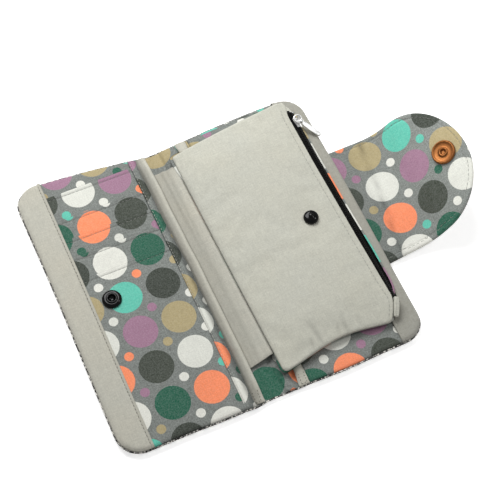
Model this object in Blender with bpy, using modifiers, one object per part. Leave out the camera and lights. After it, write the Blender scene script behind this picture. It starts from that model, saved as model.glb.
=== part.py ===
"""Folding clutch wallet, laid open: two fabric pages joined by a soft spine,
card tiers on the front page, a zipped pouch that turns like a book page, and
a curled closing flap with a press stud.  Units are metres, +Z is up.

X runs across the pages (front page at -X, back page and flap at +X),
Y runs along the spine, and Z = 0 is the face that lies on the table.
"""

import math

import bmesh
import bpy
from mathutils import Matrix, Vector

MM = 0.001

# ---- driving dimensions, millimetres ---------------------------------------
GAP = 0.3                    # clearance between touching layers

LEFT_EDGE = -105.5           # free edge of the front page
RIGHT_EDGE = 105.8           # free edge of the back page
BOTTOM_EDGE = -100.5
TOP_AT_SPINE = 96.5          # the upper edge dips in a shallow V at the spine
TOP_RISE = 0.070             # and rises this much per millimetre away from it
CORNER_RADIUS = 16.0
SPLIT_X = -5.0               # where the spine layers divide between the pages

SHELL = (0.0, 1.2)           # outer tweed
STIFFENER = (1.5, 2.7)
LINING = (3.0, 3.8)
FACING = (4.1, 5.8)          # padded bands and pocket faces

FOLD_X, FOLD_Z = -1.6, 13.0  # axis that the closed wallet folds about

BAND_FRONT_INNER = -85.6
BAND_BACK_INNER = 86.3
RIDGE_FRONT_X, RIDGE_FRONT_R, RIDGE_FRONT_Z = -15.7, 2.7, 5.4
RIDGE_BACK_X, RIDGE_BACK_R, RIDGE_BACK_Z = 15.5, 1.9, 4.6

CARD_PANEL = (-85.2, -19.2)
TIER_OPENINGS = (92.0, 72.0, 56.5, 42.5)   # upper edge of each card tier
SLIP_OPENING = 25.0
TIER_THICK = 0.7
TIER_TUCK = 4.0              # how far each tier runs under the next

SNAP_Y = 3.5
SOCKET_X = -72.6             # press socket on the front page
STUD_X = 2 * FOLD_X - SOCKET_X   # its stud on the pouch, which it meets shut

POUCH_LEFT = 3.4
POUCH_RIGHT = 90.7
POUCH_BOTTOM = (-88.5, -84.0)    # at the fold and at the zip
POUCH_TOP = (83.0, 96.0)
POUCH_BACK = (6.9, 7.8)
POUCH_RIM = 10.0             # top of the front panel along its seams
POUCH_CROWN = 13.2           # top of the front panel in the middle
POUCH_CLOTH = 1.6
POUCH_AXIS = (3.5, 11.0)     # X and Z of the line that it turns about

ZIP_X, ZIP_Z = 94.0, 10.2    # centre of the zip's cross-section
ZIP_TILT = 45.0              # the zip faces up and outward
ZIP_ENDS = (-71.4, 86.0)
SLIDER_Y = 76.5
SLIDER_TRAVEL = 142.5
PULL_AT = (96.6, 76.0, 13.1) # crown that the pull hangs on
PULL_TIP = (105.2, 64.6, 7.4)
PULL_LENGTH = 15.5

FLAP_BASE = (106.0, 4.0)     # X and Z of its inner face at the page edge
FLAP_LENGTH = 85.3
FLAP_MID_Y = 3.1
FLAP_HALF = 46.8
FLAP_END = 39.8              # length of its rounded end
FLAP_TAPER = 2.1
FLAP_SLOPES = (7.1, 7.2, 45.5, 38.9, 15.0)   # degrees, evenly spaced knots
FLAP_INNER = (0.0, -1.2)     # depth below the inner face
FLAP_OUTER = (-1.5, -2.8)
FLAP_SPLIT = 18.0            # distance from the page edge to the flap's crease
FLAP_AXIS = (105.9, 4.3)
CLOSURE_S = 69.5             # distance along the flap to its press socket
CLOSURE_STUD_X = -61.8       # stud under the front page that it closes on

# ---- scene, collections and materials --------------------------------------
for old in list(bpy.data.objects):
    bpy.data.objects.remove(old, do_unlink=True)

WALLET = bpy.data.collections.new("wallet")
CUTTERS = bpy.data.collections.new("cutters")
bpy.context.scene.collection.children.link(WALLET)
bpy.context.scene.collection.children.link(CUTTERS)


def finish(name, colour, roughness, metallic=0.0):
    m = bpy.data.materials.new(name)
    m.use_nodes = True
    shader = m.node_tree.nodes["Principled BSDF"]
    shader.inputs["Base Color"].default_value = (*colour, 1.0)
    shader.inputs["Roughness"].default_value = roughness
    shader.inputs["Metallic"].default_value = metallic
    m.diffuse_color = (*colour, 1.0)
    return m


TWEED = (0.16, 0.16, 0.16)
PRINT = (0.25, 0.26, 0.25)
PLAIN = (0.52, 0.50, 0.43)
BOARD = (0.60, 0.58, 0.52)
BLACK_CLOTH = (0.02, 0.02, 0.02)
GUNMETAL = (0.05, 0.05, 0.055)
COPPER = (0.72, 0.36, 0.20)
STEEL = (0.62, 0.62, 0.62)

# ---- joint frames -----------------------------------------------------------
PIVOTS = {}
EMPTIES = {}


def joint_frame(name, where, parent=None):
    """An empty on a joint's axis; the pieces that it carries hang from it."""
    e = bpy.data.objects.new(name + "_frame", None)
    e.empty_display_size = 0.01
    WALLET.objects.link(e)
    PIVOTS[name] = Vector(where) * MM
    EMPTIES[name] = e
    base = Vector((0, 0, 0))
    if parent:
        e.parent = EMPTIES[parent]
        base = PIVOTS[parent]
    e.location = PIVOTS[name] - base
    return e


def flap_point(s):
    """X, Z and slope (radians) of the flap's inner face at arc length s."""
    steps = 60
    x, z = FLAP_BASE
    ds = s / steps
    a = math.radians(FLAP_SLOPES[0])
    for i in range(steps):
        mid = (i + 0.5) * ds
        a = math.radians(flap_slope(mid))
        x += math.cos(a) * ds
        z += math.sin(a) * ds
    return x, z, math.radians(flap_slope(s))


def flap_slope(s):
    k = max(0.0, min(1.0, s / FLAP_LENGTH)) * (len(FLAP_SLOPES) - 1)
    i = min(int(k), len(FLAP_SLOPES) - 2)
    f = k - i
    return FLAP_SLOPES[i] * (1 - f) + FLAP_SLOPES[i + 1] * f


def flap_half_width(s):
    body = FLAP_LENGTH - FLAP_END
    w = FLAP_HALF - FLAP_TAPER * min(1.0, s / body)
    t = max(0.0, (s - body) / FLAP_END)
    return w * math.sqrt(max(0.0, 1.0 - t ** 1.91))


def flap_place(s, depth):
    x, z, a = flap_point(s)
    return x - math.sin(a) * depth, z + math.cos(a) * depth, a


CREASE = flap_place(FLAP_SPLIT, 0.2)

joint_frame("back_page", (0, 0, 0))
joint_frame("front_page", (FOLD_X, 0, FOLD_Z), "back_page")
joint_frame("pouch", (POUCH_AXIS[0], 0, POUCH_AXIS[1]), "back_page")
joint_frame("zip_slider", (ZIP_X, SLIDER_Y, ZIP_Z), "pouch")
joint_frame("zip_pull", PULL_AT, "zip_slider")
joint_frame("flap_root", (FLAP_AXIS[0], FLAP_MID_Y, FLAP_AXIS[1]), "back_page")
joint_frame("flap_tip", (CREASE[0], FLAP_MID_Y, CREASE[1]), "flap_root")


def add(name, data, body, where, colour, roughness, metallic=0.0, turn=None):
    """Puts a piece in the collection, under its joint frame, at a place given
    in millimetres in the wallet's own frame."""
    o = bpy.data.objects.new(name, data)
    WALLET.objects.link(o)
    data.materials.append(finish(name, colour, roughness, metallic))
    o.parent = EMPTIES[body]
    o.location = Vector(where) * MM - PIVOTS[body]
    if turn is not None:
        o.rotation_mode = "QUATERNION"
        o.rotation_quaternion = turn.to_quaternion()
    return o


# ---- shape helpers ----------------------------------------------------------
def rounded(corners, steps=5):
    """A closed outline from (x, y, radius) corners, going anticlockwise."""
    out = []
    n = len(corners)
    for i, (x, y, r) in enumerate(corners):
        p = Vector((x, y))
        if r <= 0:
            out.append(p)
            continue
        a = (Vector(corners[i - 1][:2]) - p).normalized()
        b = (Vector(corners[(i + 1) % n][:2]) - p).normalized()
        half = a.angle(b) / 2
        back = r / math.tan(half)
        centre = p + (a + b).normalized() * (r / math.sin(half))
        start, end = p + a * back - centre, p + b * back - centre
        sweep = start.angle_signed(end)
        for k in range(steps + 1):
            t = -sweep * k / steps
            out.append(centre + Matrix.Rotation(t, 2) @ start)
    return [(v.x, v.y) for v in out]


def circle(cx, cy, r, n=20):
    return [(cx + r * math.cos(2 * math.pi * i / n), cy + r * math.sin(2 * math.pi * i / n)) for i in range(n)]


def flat_curve(name, outlines, thickness):
    """A flat outline, holes included, filled and extruded to a thickness."""
    c = bpy.data.curves.new(name, "CURVE")
    c.dimensions = "2D"
    c.fill_mode = "BOTH"
    c.extrude = thickness / 2 * MM
    for pts in outlines:
        s = c.splines.new("POLY")
        s.points.add(len(pts) - 1)
        for q, (x, y) in zip(s.points, pts):
            q.co = (x * MM, y * MM, 0, 1)
        s.use_cyclic_u = True
    return c


def plate(name, outlines, z, body, colour, roughness, metallic=0.0):
    return add(name, flat_curve(name, outlines, z[1] - z[0]), body, (0, 0, (z[0] + z[1]) / 2), colour, roughness, metallic)


def block(name, size, body, where, colour, roughness, metallic=0.0, turn=None, bevel=0.0):
    bm = bmesh.new()
    bmesh.ops.create_cube(bm, size=1.0)
    bmesh.ops.scale(bm, vec=Vector(size) * MM, verts=bm.verts)
    me = bpy.data.meshes.new(name)
    bm.to_mesh(me)
    bm.free()
    o = add(name, me, body, where, colour, roughness, metallic, turn)
    if bevel:
        b = o.modifiers.new("edges", "BEVEL")
        b.width = bevel * MM
        b.segments = 2
    return o


def tube(name, pts, radius, body, colour, roughness, metallic=0.0, resolution=2):
    c = bpy.data.curves.new(name, "CURVE")
    c.dimensions = "3D"
    c.bevel_depth = radius * MM
    c.bevel_resolution = resolution
    c.use_fill_caps = True
    s = c.splines.new("POLY")
    s.points.add(len(pts) - 1)
    for q, p in zip(s.points, pts):
        q.co = (*(Vector(p) * MM - PIVOTS[body]), 1)
    o = add(name, c, body, (0, 0, 0), colour, roughness, metallic)
    o.location = (0, 0, 0)
    return o


def turned(name, profile, body, where, colour, roughness, metallic=0.0, turn=None, steps=24):
    """A turned piece: (radius, height) points down its outer side, as a Screw."""
    me = bpy.data.meshes.new(name)
    me.from_pydata([(r * MM, 0, h * MM) for r, h in profile], [(i, i + 1) for i in range(len(profile) - 1)], [])
    o = add(name, me, body, where, colour, roughness, metallic, turn)
    s = o.modifiers.new("turn", "SCREW")
    s.steps = s.render_steps = steps
    s.use_merge_vertices = True
    s.merge_threshold = 0.00001
    s.use_smooth_shade = True
    return o


def sheet(name, place, nu, nv, thickness, inward, body, colour, roughness):
    """An open surface from a grid that place(u, v) lays out, given thickness."""
    bm = bmesh.new()
    bmesh.ops.create_grid(bm, x_segments=nu, y_segments=nv, size=0.5)
    for v in bm.verts:
        v.co = Vector(place(v.co.x + 0.5, v.co.y + 0.5)) * MM - PIVOTS[body]
    me = bpy.data.meshes.new(name)
    bm.to_mesh(me)
    bm.free()
    o = add(name, me, body, (0, 0, 0), colour, roughness)
    o.location = (0, 0, 0)
    s = o.modifiers.new("cloth", "SOLIDIFY")
    s.thickness = thickness * MM
    s.offset = -1 if inward else 1
    me.shade_smooth()
    return o


def top_edge(x):
    return TOP_AT_SPINE + TOP_RISE * abs(x)


# ---- back page --------------------------------------------------------------
def back_outline(x0, x1, inset, radius):
    """The back page's outline from x0 to x1, drawn in from its free edges."""
    return rounded([
        (x0, BOTTOM_EDGE + inset, 0),
        (x1, BOTTOM_EDGE + inset + 1.5, radius),
        (x1, top_edge(x1) - inset, radius),
        (x0, top_edge(x0) - inset, 0),
    ])


plate("shell_back", [back_outline(SPLIT_X + GAP / 2, RIGHT_EDGE, 0, CORNER_RADIUS)], SHELL, "back_page", TWEED, 0.95)
plate("stiffener_back", [back_outline(19.5, RIGHT_EDGE - 2.4, 2.4, CORNER_RADIUS - 2)], STIFFENER, "back_page", BOARD, 0.8)
plate("lining_back", [back_outline(19.5, RIGHT_EDGE - 2.4, 2.4, CORNER_RADIUS - 2)], LINING, "back_page", PRINT, 0.9)
plate("band_back", [back_outline(BAND_BACK_INNER, RIGHT_EDGE - 0.4, 0.4, CORNER_RADIUS - 1)], (FACING[0], FACING[1] - 0.2), "back_page", PLAIN, 0.9)
plate("pocket_back", [[(20.0, BOTTOM_EDGE + 1.0), (BAND_BACK_INNER - GAP, BOTTOM_EDGE + 1.8),
                       (BAND_BACK_INNER - GAP, top_edge(70) - 2.5), (20.0, top_edge(20) - 1.0)]],
      (FACING[0], FACING[1] - 0.3), "back_page", PRINT, 0.9)
plate("spine_lining_back", [[(SPLIT_X + GAP / 2, BOTTOM_EDGE + 0.6), (RIDGE_BACK_X + 3.4, BOTTOM_EDGE + 0.6),
                             (RIDGE_BACK_X + 3.4, TOP_AT_SPINE - 0.5), (SPLIT_X + GAP / 2, TOP_AT_SPINE - 0.5)]],
      (1.5, 2.3), "back_page", PRINT, 0.9)
tube("ridge_back", [(RIDGE_BACK_X, BOTTOM_EDGE + 1.5, RIDGE_BACK_Z), (RIDGE_BACK_X, 0, RIDGE_BACK_Z), (RIDGE_BACK_X, TOP_AT_SPINE, RIDGE_BACK_Z)],
     RIDGE_BACK_R, "back_page", PLAIN, 0.9, resolution=2)

# ---- front page -------------------------------------------------------------
def front_outline(x0, x1, inset, radius):
    """The front page's outline from its free edge x0 to x1."""
    return rounded([
        (x1, top_edge(x1) - inset, 0),
        (x0, top_edge(x0) - inset, radius),
        (x0, BOTTOM_EDGE + inset, radius),
        (x1, BOTTOM_EDGE + inset, 0),
    ])


dimple = circle(CLOSURE_STUD_X, SNAP_Y, 7.2, 24)
plate("shell_front", [front_outline(LEFT_EDGE, SPLIT_X - GAP / 2, 0, CORNER_RADIUS), dimple], SHELL, "front_page", TWEED, 0.95)
plate("stiffener_front", [front_outline(LEFT_EDGE + 2.4, -19.6, 2.4, CORNER_RADIUS - 2), dimple], STIFFENER, "front_page", BOARD, 0.8)
plate("lining_front", [front_outline(LEFT_EDGE + 2.4, -19.6, 2.4, CORNER_RADIUS - 2)], LINING, "front_page", PRINT, 0.9)
plate("band_front", [front_outline(LEFT_EDGE + 0.4, BAND_FRONT_INNER, 0.4, CORNER_RADIUS - 1)], FACING, "front_page", PLAIN, 0.9)
plate("spine_lining_front", [[(RIDGE_FRONT_X - 3.4, BOTTOM_EDGE + 0.6), (SPLIT_X - GAP / 2, BOTTOM_EDGE + 0.6),
                              (SPLIT_X - GAP / 2, TOP_AT_SPINE - 0.5), (RIDGE_FRONT_X - 3.4, TOP_AT_SPINE - 0.5)]],
      (1.5, 2.3), "front_page", PRINT, 0.9)
tube("ridge_front", [(RIDGE_FRONT_X, BOTTOM_EDGE + 1.5, RIDGE_FRONT_Z), (RIDGE_FRONT_X, 0, RIDGE_FRONT_Z), (RIDGE_FRONT_X, TOP_AT_SPINE + 0.5, RIDGE_FRONT_Z)],
     RIDGE_FRONT_R, "front_page", PLAIN, 0.9, resolution=3)

# card tiers lie like shingles: each lower edge tucks under the next one down
panel_mid = (CARD_PANEL[0] + CARD_PANEL[1]) / 2
panel_wide = CARD_PANEL[1] - CARD_PANEL[0]
bounds = TIER_OPENINGS + (SLIP_OPENING,)
for i, upper in enumerate(TIER_OPENINGS):
    lower = bounds[i + 1] - TIER_TUCK
    long = upper - lower
    rise = math.atan2(TIER_THICK + GAP, bounds[i] - bounds[i + 1] + 0.6)
    block("card_tier_%d" % (i + 1), (panel_wide, long, TIER_THICK), "front_page",
          (panel_mid, (upper + lower) / 2, 4.55 + long / 2 * math.sin(rise)), PRINT, 0.9, turn=Matrix.Rotation(rise, 3, "X"))
plate("slip_pocket_front", [[(CARD_PANEL[0], BOTTOM_EDGE + 0.8), (CARD_PANEL[1], BOTTOM_EDGE + 0.8), (CARD_PANEL[1], SLIP_OPENING), (CARD_PANEL[0], SLIP_OPENING)]],
      (5.25, 6.0), "front_page", PRINT, 0.9)
plate("slip_pocket_lining", [[(CARD_PANEL[0], BOTTOM_EDGE + 1.2), (CARD_PANEL[1], BOTTOM_EDGE + 1.2), (CARD_PANEL[1], SLIP_OPENING - TIER_TUCK - 1.5), (CARD_PANEL[0], SLIP_OPENING - TIER_TUCK - 1.5)],
                             circle(SOCKET_X, SNAP_Y, 6.2, 20)],
      (4.1, 4.7), "front_page", PRINT, 0.9)

# press socket: a ring with a recess that takes the stud's pin
turned("snap_socket", [(0, 7.0), (2.3, 7.0), (2.3, 8.6), (3.1, 8.9), (4.0, 8.4), (5.0, 8.4), (6.4, 7.4), (6.5, 6.3), (0, 6.3)],
       "front_page", (SOCKET_X, SNAP_Y, 0), GUNMETAL, 0.25, 0.9)
turned("snap_socket_backing", [(0, 4.95), (5.6, 4.95), (5.6, 4.2), (0, 4.2)], "front_page", (SOCKET_X, SNAP_Y, 0), GUNMETAL, 0.4, 0.9)

# closing stud under the page, sunk in a dimple so that the page lies flat
turned("closure_stud", [(0, 2.1), (5.8, 2.1), (5.8, 1.5), (3.4, 1.2), (3.1, 0.3), (0, 0.3)], "front_page", (CLOSURE_STUD_X, SNAP_Y, 0), COPPER, 0.35, 0.9)
turned("closure_stud_backing", [(0, 2.75), (6.2, 2.75), (6.2, 2.4), (0, 2.4)], "front_page", (CLOSURE_STUD_X, SNAP_Y, 0), STEEL, 0.4, 0.9)

# ---- gusset wing between the front page and the pouch -----------------------
WING = (6.6, 7.3)
plate("wing_left", [[(-12.7, -76.0), (SPLIT_X - GAP / 2, -76.0), (SPLIT_X - GAP / 2, 79.0), (-12.7, 79.0)]], WING, "front_page", PLAIN, 0.9)
plate("wing_right", [[(SPLIT_X + GAP / 2, -76.0), (3.0, -76.0), (3.0, 79.0), (SPLIT_X + GAP / 2, 79.0)]], WING, "back_page", PLAIN, 0.9)


# ---- pouch ------------------------------------------------------------------
def pouch_xy(u, v):
    x = POUCH_LEFT + u * (POUCH_RIGHT - POUCH_LEFT)
    lower = POUCH_BOTTOM[0] * (1 - u) + POUCH_BOTTOM[1] * u + 2.0 * math.sin(math.pi * u)
    upper = POUCH_TOP[0] + (POUCH_TOP[1] - POUCH_TOP[0]) * u ** 0.75
    return x, lower * (1 - v) + upper * v


def pouch_front_at(u, v):
    # more rows near the seams, where the cloth turns down
    v = 0.5 - 0.5 * math.cos(math.pi * v)
    u = 1 - math.cos(math.pi / 2 * u)
    x, y = pouch_xy(u, v)
    edge = min(u * 87, v * 175, (1 - v) * 175)
    f = min(1.0, edge / 9.0)
    f = math.sin(math.pi / 2 * f)
    return x, y, POUCH_RIM + (POUCH_CROWN - POUCH_RIM) * f


sheet("pouch_front", pouch_front_at, 12, 16, POUCH_CLOTH, True, "pouch", PLAIN, 0.9)
plate("pouch_back", [rounded([(POUCH_LEFT, POUCH_BOTTOM[0], 5), (POUCH_RIGHT + 1.2, POUCH_BOTTOM[1], 0),
                              (POUCH_RIGHT + 1.2, POUCH_TOP[1] - 3, 0), (POUCH_LEFT, POUCH_TOP[0] - 0.5, 3)])],
      POUCH_BACK, "pouch", PRINT, 0.9)

tilt = math.radians(ZIP_TILT)
ACROSS = Vector((math.cos(tilt), 0, -math.sin(tilt)))    # across the zip, outward
OUT = Vector((math.sin(tilt), 0, math.cos(tilt)))        # away from the pouch
ZIP_TURN = Matrix((ACROSS, Vector((0, 1, 0)), OUT)).transposed()
zip_mid = (ZIP_ENDS[0] + ZIP_ENDS[1]) / 2
zip_long = ZIP_ENDS[1] - ZIP_ENDS[0]


def on_zip(across, y, out):
    return Vector((ZIP_X, y, ZIP_Z)) + ACROSS * across + OUT * out


block("zip_tape_front", (1.6, zip_long, 0.5), "pouch", on_zip(-3.0, zip_mid, 0), BLACK_CLOTH, 0.8, turn=ZIP_TURN)
block("zip_tape_back", (1.6, zip_long, 0.5), "pouch", on_zip(3.0, zip_mid, 0), BLACK_CLOTH, 0.8, turn=ZIP_TURN)
block("zip_teeth_front", (1.2, zip_long, 1.5), "pouch", on_zip(-1.3, zip_mid, 0), BLACK_CLOTH, 0.45, turn=ZIP_TURN, bevel=0.3)
block("zip_teeth_back", (1.2, zip_long, 1.5), "pouch", on_zip(1.3, zip_mid, 0), BLACK_CLOTH, 0.45, turn=ZIP_TURN, bevel=0.3)
plate("zip_facing", [[(POUCH_RIGHT + 1.6, -79.0), (96.0, -79.0), (96.0, 86.0), (POUCH_RIGHT + 1.6, 88.0)]], (6.8, 7.3), "pouch", PRINT, 0.9)
block("zip_stop_bottom", (3.8, 0.9, 1.5), "pouch", on_zip(0, ZIP_ENDS[0] - 0.8, 0), STEEL, 0.35, 0.9, turn=ZIP_TURN)
block("zip_stop_top", (3.8, 0.9, 1.5), "pouch", on_zip(0, ZIP_ENDS[1] + 0.8, 0), STEEL, 0.35, 0.9, turn=ZIP_TURN)
block("zip_end_tab_bottom", (5.0, 9.0, 4.8), "pouch", (94.2, ZIP_ENDS[0] - 6.2, 10.6), PLAIN, 0.9, bevel=0.8)
block("zip_end_tab_top", (4.6, 4.6, 4.8), "pouch", (93.8, ZIP_ENDS[1] + 4.0, 10.6), PLAIN, 0.9, bevel=0.8)

# press stud on the pouch: a domed button with a central pin
turned("snap_stud", [(0, 17.7), (1.3, 17.6), (1.6, 17.1), (1.6, 16.5), (3.4, 16.2), (4.6, 15.4), (5.1, 14.2), (5.1, 13.5), (0, 13.5)],
       "pouch", (STUD_X, SNAP_Y, 0), GUNMETAL, 0.25, 0.9)
turned("snap_stud_backing", [(0, 11.4), (5.0, 11.4), (5.0, 10.6), (0, 10.6)], "pouch", (STUD_X, SNAP_Y, 0), GUNMETAL, 0.4, 0.9)

# ---- zip slider and pull ----------------------------------------------------
# two plates joined by a web that runs between the rows of teeth
web, near, far, inner_near, inner_far = 0.4, 1.05, 1.85, 1.05, 1.65
top_half, low_half = 3.4, 1.6
i_section = [(-low_half, -inner_far), (low_half, -inner_far), (low_half, -inner_near), (web, -inner_near), (web, near), (top_half, near),
             (top_half, far), (-top_half, far), (-top_half, near), (-web, near), (-web, -inner_near), (-low_half, -inner_near)]
# the section is drawn across and out of the zip, and extruded along it
SECTION_TURN = Matrix((ACROSS, OUT, ACROSS.cross(OUT))).transposed()
add("zip_slider", flat_curve("zip_slider", [i_section], 8.8), "zip_slider", (ZIP_X, SLIDER_Y, ZIP_Z), STEEL, 0.3, 1.0, turn=SECTION_TURN)

pull_at, pull_tip = Vector(PULL_AT), Vector(PULL_TIP)
along = (pull_tip - pull_at).normalized()
crown = Vector((-along.y, along.x, 0)).normalized()      # the pull swings about this
lift = crown.cross(along)
legs = []
for side in (-1, 1):
    top = pull_at + crown * (3.0 * side)
    drop = (top - Vector((ZIP_X, top.y, ZIP_Z))).dot(OUT) - (far + 0.3)
    legs.append((top, top - OUT * drop))
tube("zip_bail", [legs[0][1], legs[0][0], legs[1][0], legs[1][1]], 0.5, "zip_slider", STEEL, 0.3, 1.0, resolution=2)

eye, hole, half_thick = 1.6, 0.85, 0.6
open_angle = math.asin(half_thick / eye)
outline = []
for k in range(17):
    a = open_angle + (2 * math.pi - 2 * open_angle) * k / 16
    outline.append((eye * math.cos(a), eye * math.sin(a)))
# a thicker drop at the free end
for k in range(7):
    a = -math.pi / 2 + math.pi * k / 6
    outline.append((PULL_LENGTH - 0.95 + 0.95 * math.cos(a), 0.95 * math.sin(a)))
PULL_TURN = Matrix((along, crown.cross(along), crown)).transposed()
add("zip_pull", flat_curve("zip_pull", [outline, circle(0, 0, hole, 16)], 2.6), "zip_pull", PULL_AT, STEEL, 0.3, 1.0, turn=PULL_TURN)


# ---- closing flap -----------------------------------------------------------
def flap_at(s0, s1, depth):
    def place(u, v):
        s = s0 + (s1 - s0) * u
        if s1 > FLAP_LENGTH - 1:                 # closer rows round the end
            s = s0 + (s1 - s0) * math.sin(math.pi / 2 * u)
        x, z, _ = flap_place(s, depth)
        return x, FLAP_MID_Y + flap_half_width(s) * (2 * v - 1), z
    return place


END = FLAP_LENGTH - 0.25
for part, s0, s1, nu in (("flap_root", 0.4, FLAP_SPLIT - GAP, 5), ("flap_tip", FLAP_SPLIT + GAP, END, 16)):
    sheet(part + "_inner", flap_at(s0, s1, FLAP_INNER[0]), nu, 8, FLAP_INNER[0] - FLAP_INNER[1], True, part, PRINT, 0.9)
    sheet(part + "_outer", flap_at(s0, s1, FLAP_OUTER[0]), nu, 8, FLAP_OUTER[0] - FLAP_OUTER[1], True, part, TWEED, 0.95)

cx, cz, ca = flap_point(CLOSURE_S)
FLAP_TURN = Matrix.Rotation(-ca, 3, "Y")
turned("closure_socket", [(0, 0.9), (1.1, 0.9), (1.5, 1.5), (2.6, 2.0), (3.3, 1.5), (4.6, 1.3), (5.6, 1.5), (7.2, 2.1), (8.2, 1.5), (8.3, 0.4), (0, 0.4)],
       "flap_tip", (cx, FLAP_MID_Y + 0.4, cz), COPPER, 0.3, 0.95, turn=FLAP_TURN, steps=32)
turned("closure_cap", [(0, -3.7), (6.6, -3.7), (6.6, -4.2), (5.6, -4.9), (0, -5.2)],
       "flap_tip", (cx, FLAP_MID_Y + 0.4, cz), COPPER, 0.3, 0.95, turn=FLAP_TURN, steps=32)
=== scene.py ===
"""Looks of the open fabric wallet: cloth, stitching, hardware, light and camera.

Lengths below are in millimetres unless a name says otherwise; put() turns
them into metres.
"""
import math

import bpy
import numpy as np
from mathutils import Matrix, Vector
from mathutils.bvhtree import BVHTree


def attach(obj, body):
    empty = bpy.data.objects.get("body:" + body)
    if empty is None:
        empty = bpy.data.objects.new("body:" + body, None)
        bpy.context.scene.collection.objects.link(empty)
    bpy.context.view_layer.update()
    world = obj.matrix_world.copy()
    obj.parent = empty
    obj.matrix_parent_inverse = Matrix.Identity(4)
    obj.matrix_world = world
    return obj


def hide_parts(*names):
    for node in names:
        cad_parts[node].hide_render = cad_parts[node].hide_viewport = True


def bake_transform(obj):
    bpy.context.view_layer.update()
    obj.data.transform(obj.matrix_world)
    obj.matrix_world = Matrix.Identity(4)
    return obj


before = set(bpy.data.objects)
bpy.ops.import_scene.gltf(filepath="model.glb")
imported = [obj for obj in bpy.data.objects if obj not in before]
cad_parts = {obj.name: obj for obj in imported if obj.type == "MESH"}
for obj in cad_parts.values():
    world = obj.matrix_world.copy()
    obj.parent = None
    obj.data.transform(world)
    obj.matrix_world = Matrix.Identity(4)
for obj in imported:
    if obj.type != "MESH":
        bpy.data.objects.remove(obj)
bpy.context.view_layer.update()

MM = 0.001
COLLECTION = bpy.context.scene.collection

# ---------------------------------------------------------------------------
# camera, floor and light
# ---------------------------------------------------------------------------
cam_data = bpy.data.cameras.new("view")
cam_data.sensor_width = 36.0
cam_data.lens = 94.5
cam_data.clip_start = 0.01
cam_data.clip_end = 20.0
cam = bpy.data.objects.new("view", cam_data)
COLLECTION.objects.link(cam)
right = Vector((0.9105, -0.41266, 0.02638))
up = Vector((0.35131, 0.80563, 0.47702))
back = right.cross(up).normalized()
cam.matrix_world = Matrix.Translation((-0.164976, -0.367403, 0.767492)) @ Matrix((right, up, back)).transposed().to_4x4()
bpy.context.scene.camera = cam
bpy.context.scene.view_settings.view_transform = "Standard"

world = bpy.data.worlds.new("studio")
bpy.context.scene.world = world
world.use_nodes = True
world.node_tree.nodes["Background"].inputs["Color"].default_value = (1.0, 1.0, 1.0, 1.0)
world.node_tree.nodes["Background"].inputs["Strength"].default_value = 0.31


def softbox(name, where, target, size, power, colour=(1, 1, 1)):
    d = bpy.data.lights.new(name, "AREA")
    d.shape = "RECTANGLE"
    d.size, d.size_y = size
    d.energy = power
    d.color = colour
    o = bpy.data.objects.new(name, d)
    o.location = where
    o.rotation_euler = (Vector(target) - Vector(where)).to_track_quat("-Z", "Y").to_euler()
    COLLECTION.objects.link(o)
    return o


softbox("key", (0.0, 0.41, 0.54), (0.02, 0.02, 0), (0.5, 0.4), 4.6)
softbox("top", (0.80, -0.13, 1.05), (0.05, 0, 0), (0.24, 0.24), 2.6)


# ---------------------------------------------------------------------------
# node materials
# ---------------------------------------------------------------------------
def srgb(r, g, b):
    """A colour given as 0-255 screen values, as linear light."""
    def lin(c):
        c /= 255.0
        return c / 12.92 if c <= 0.04045 else ((c + 0.055) / 1.055) ** 2.4
    return (lin(r), lin(g), lin(b), 1.0)


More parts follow.
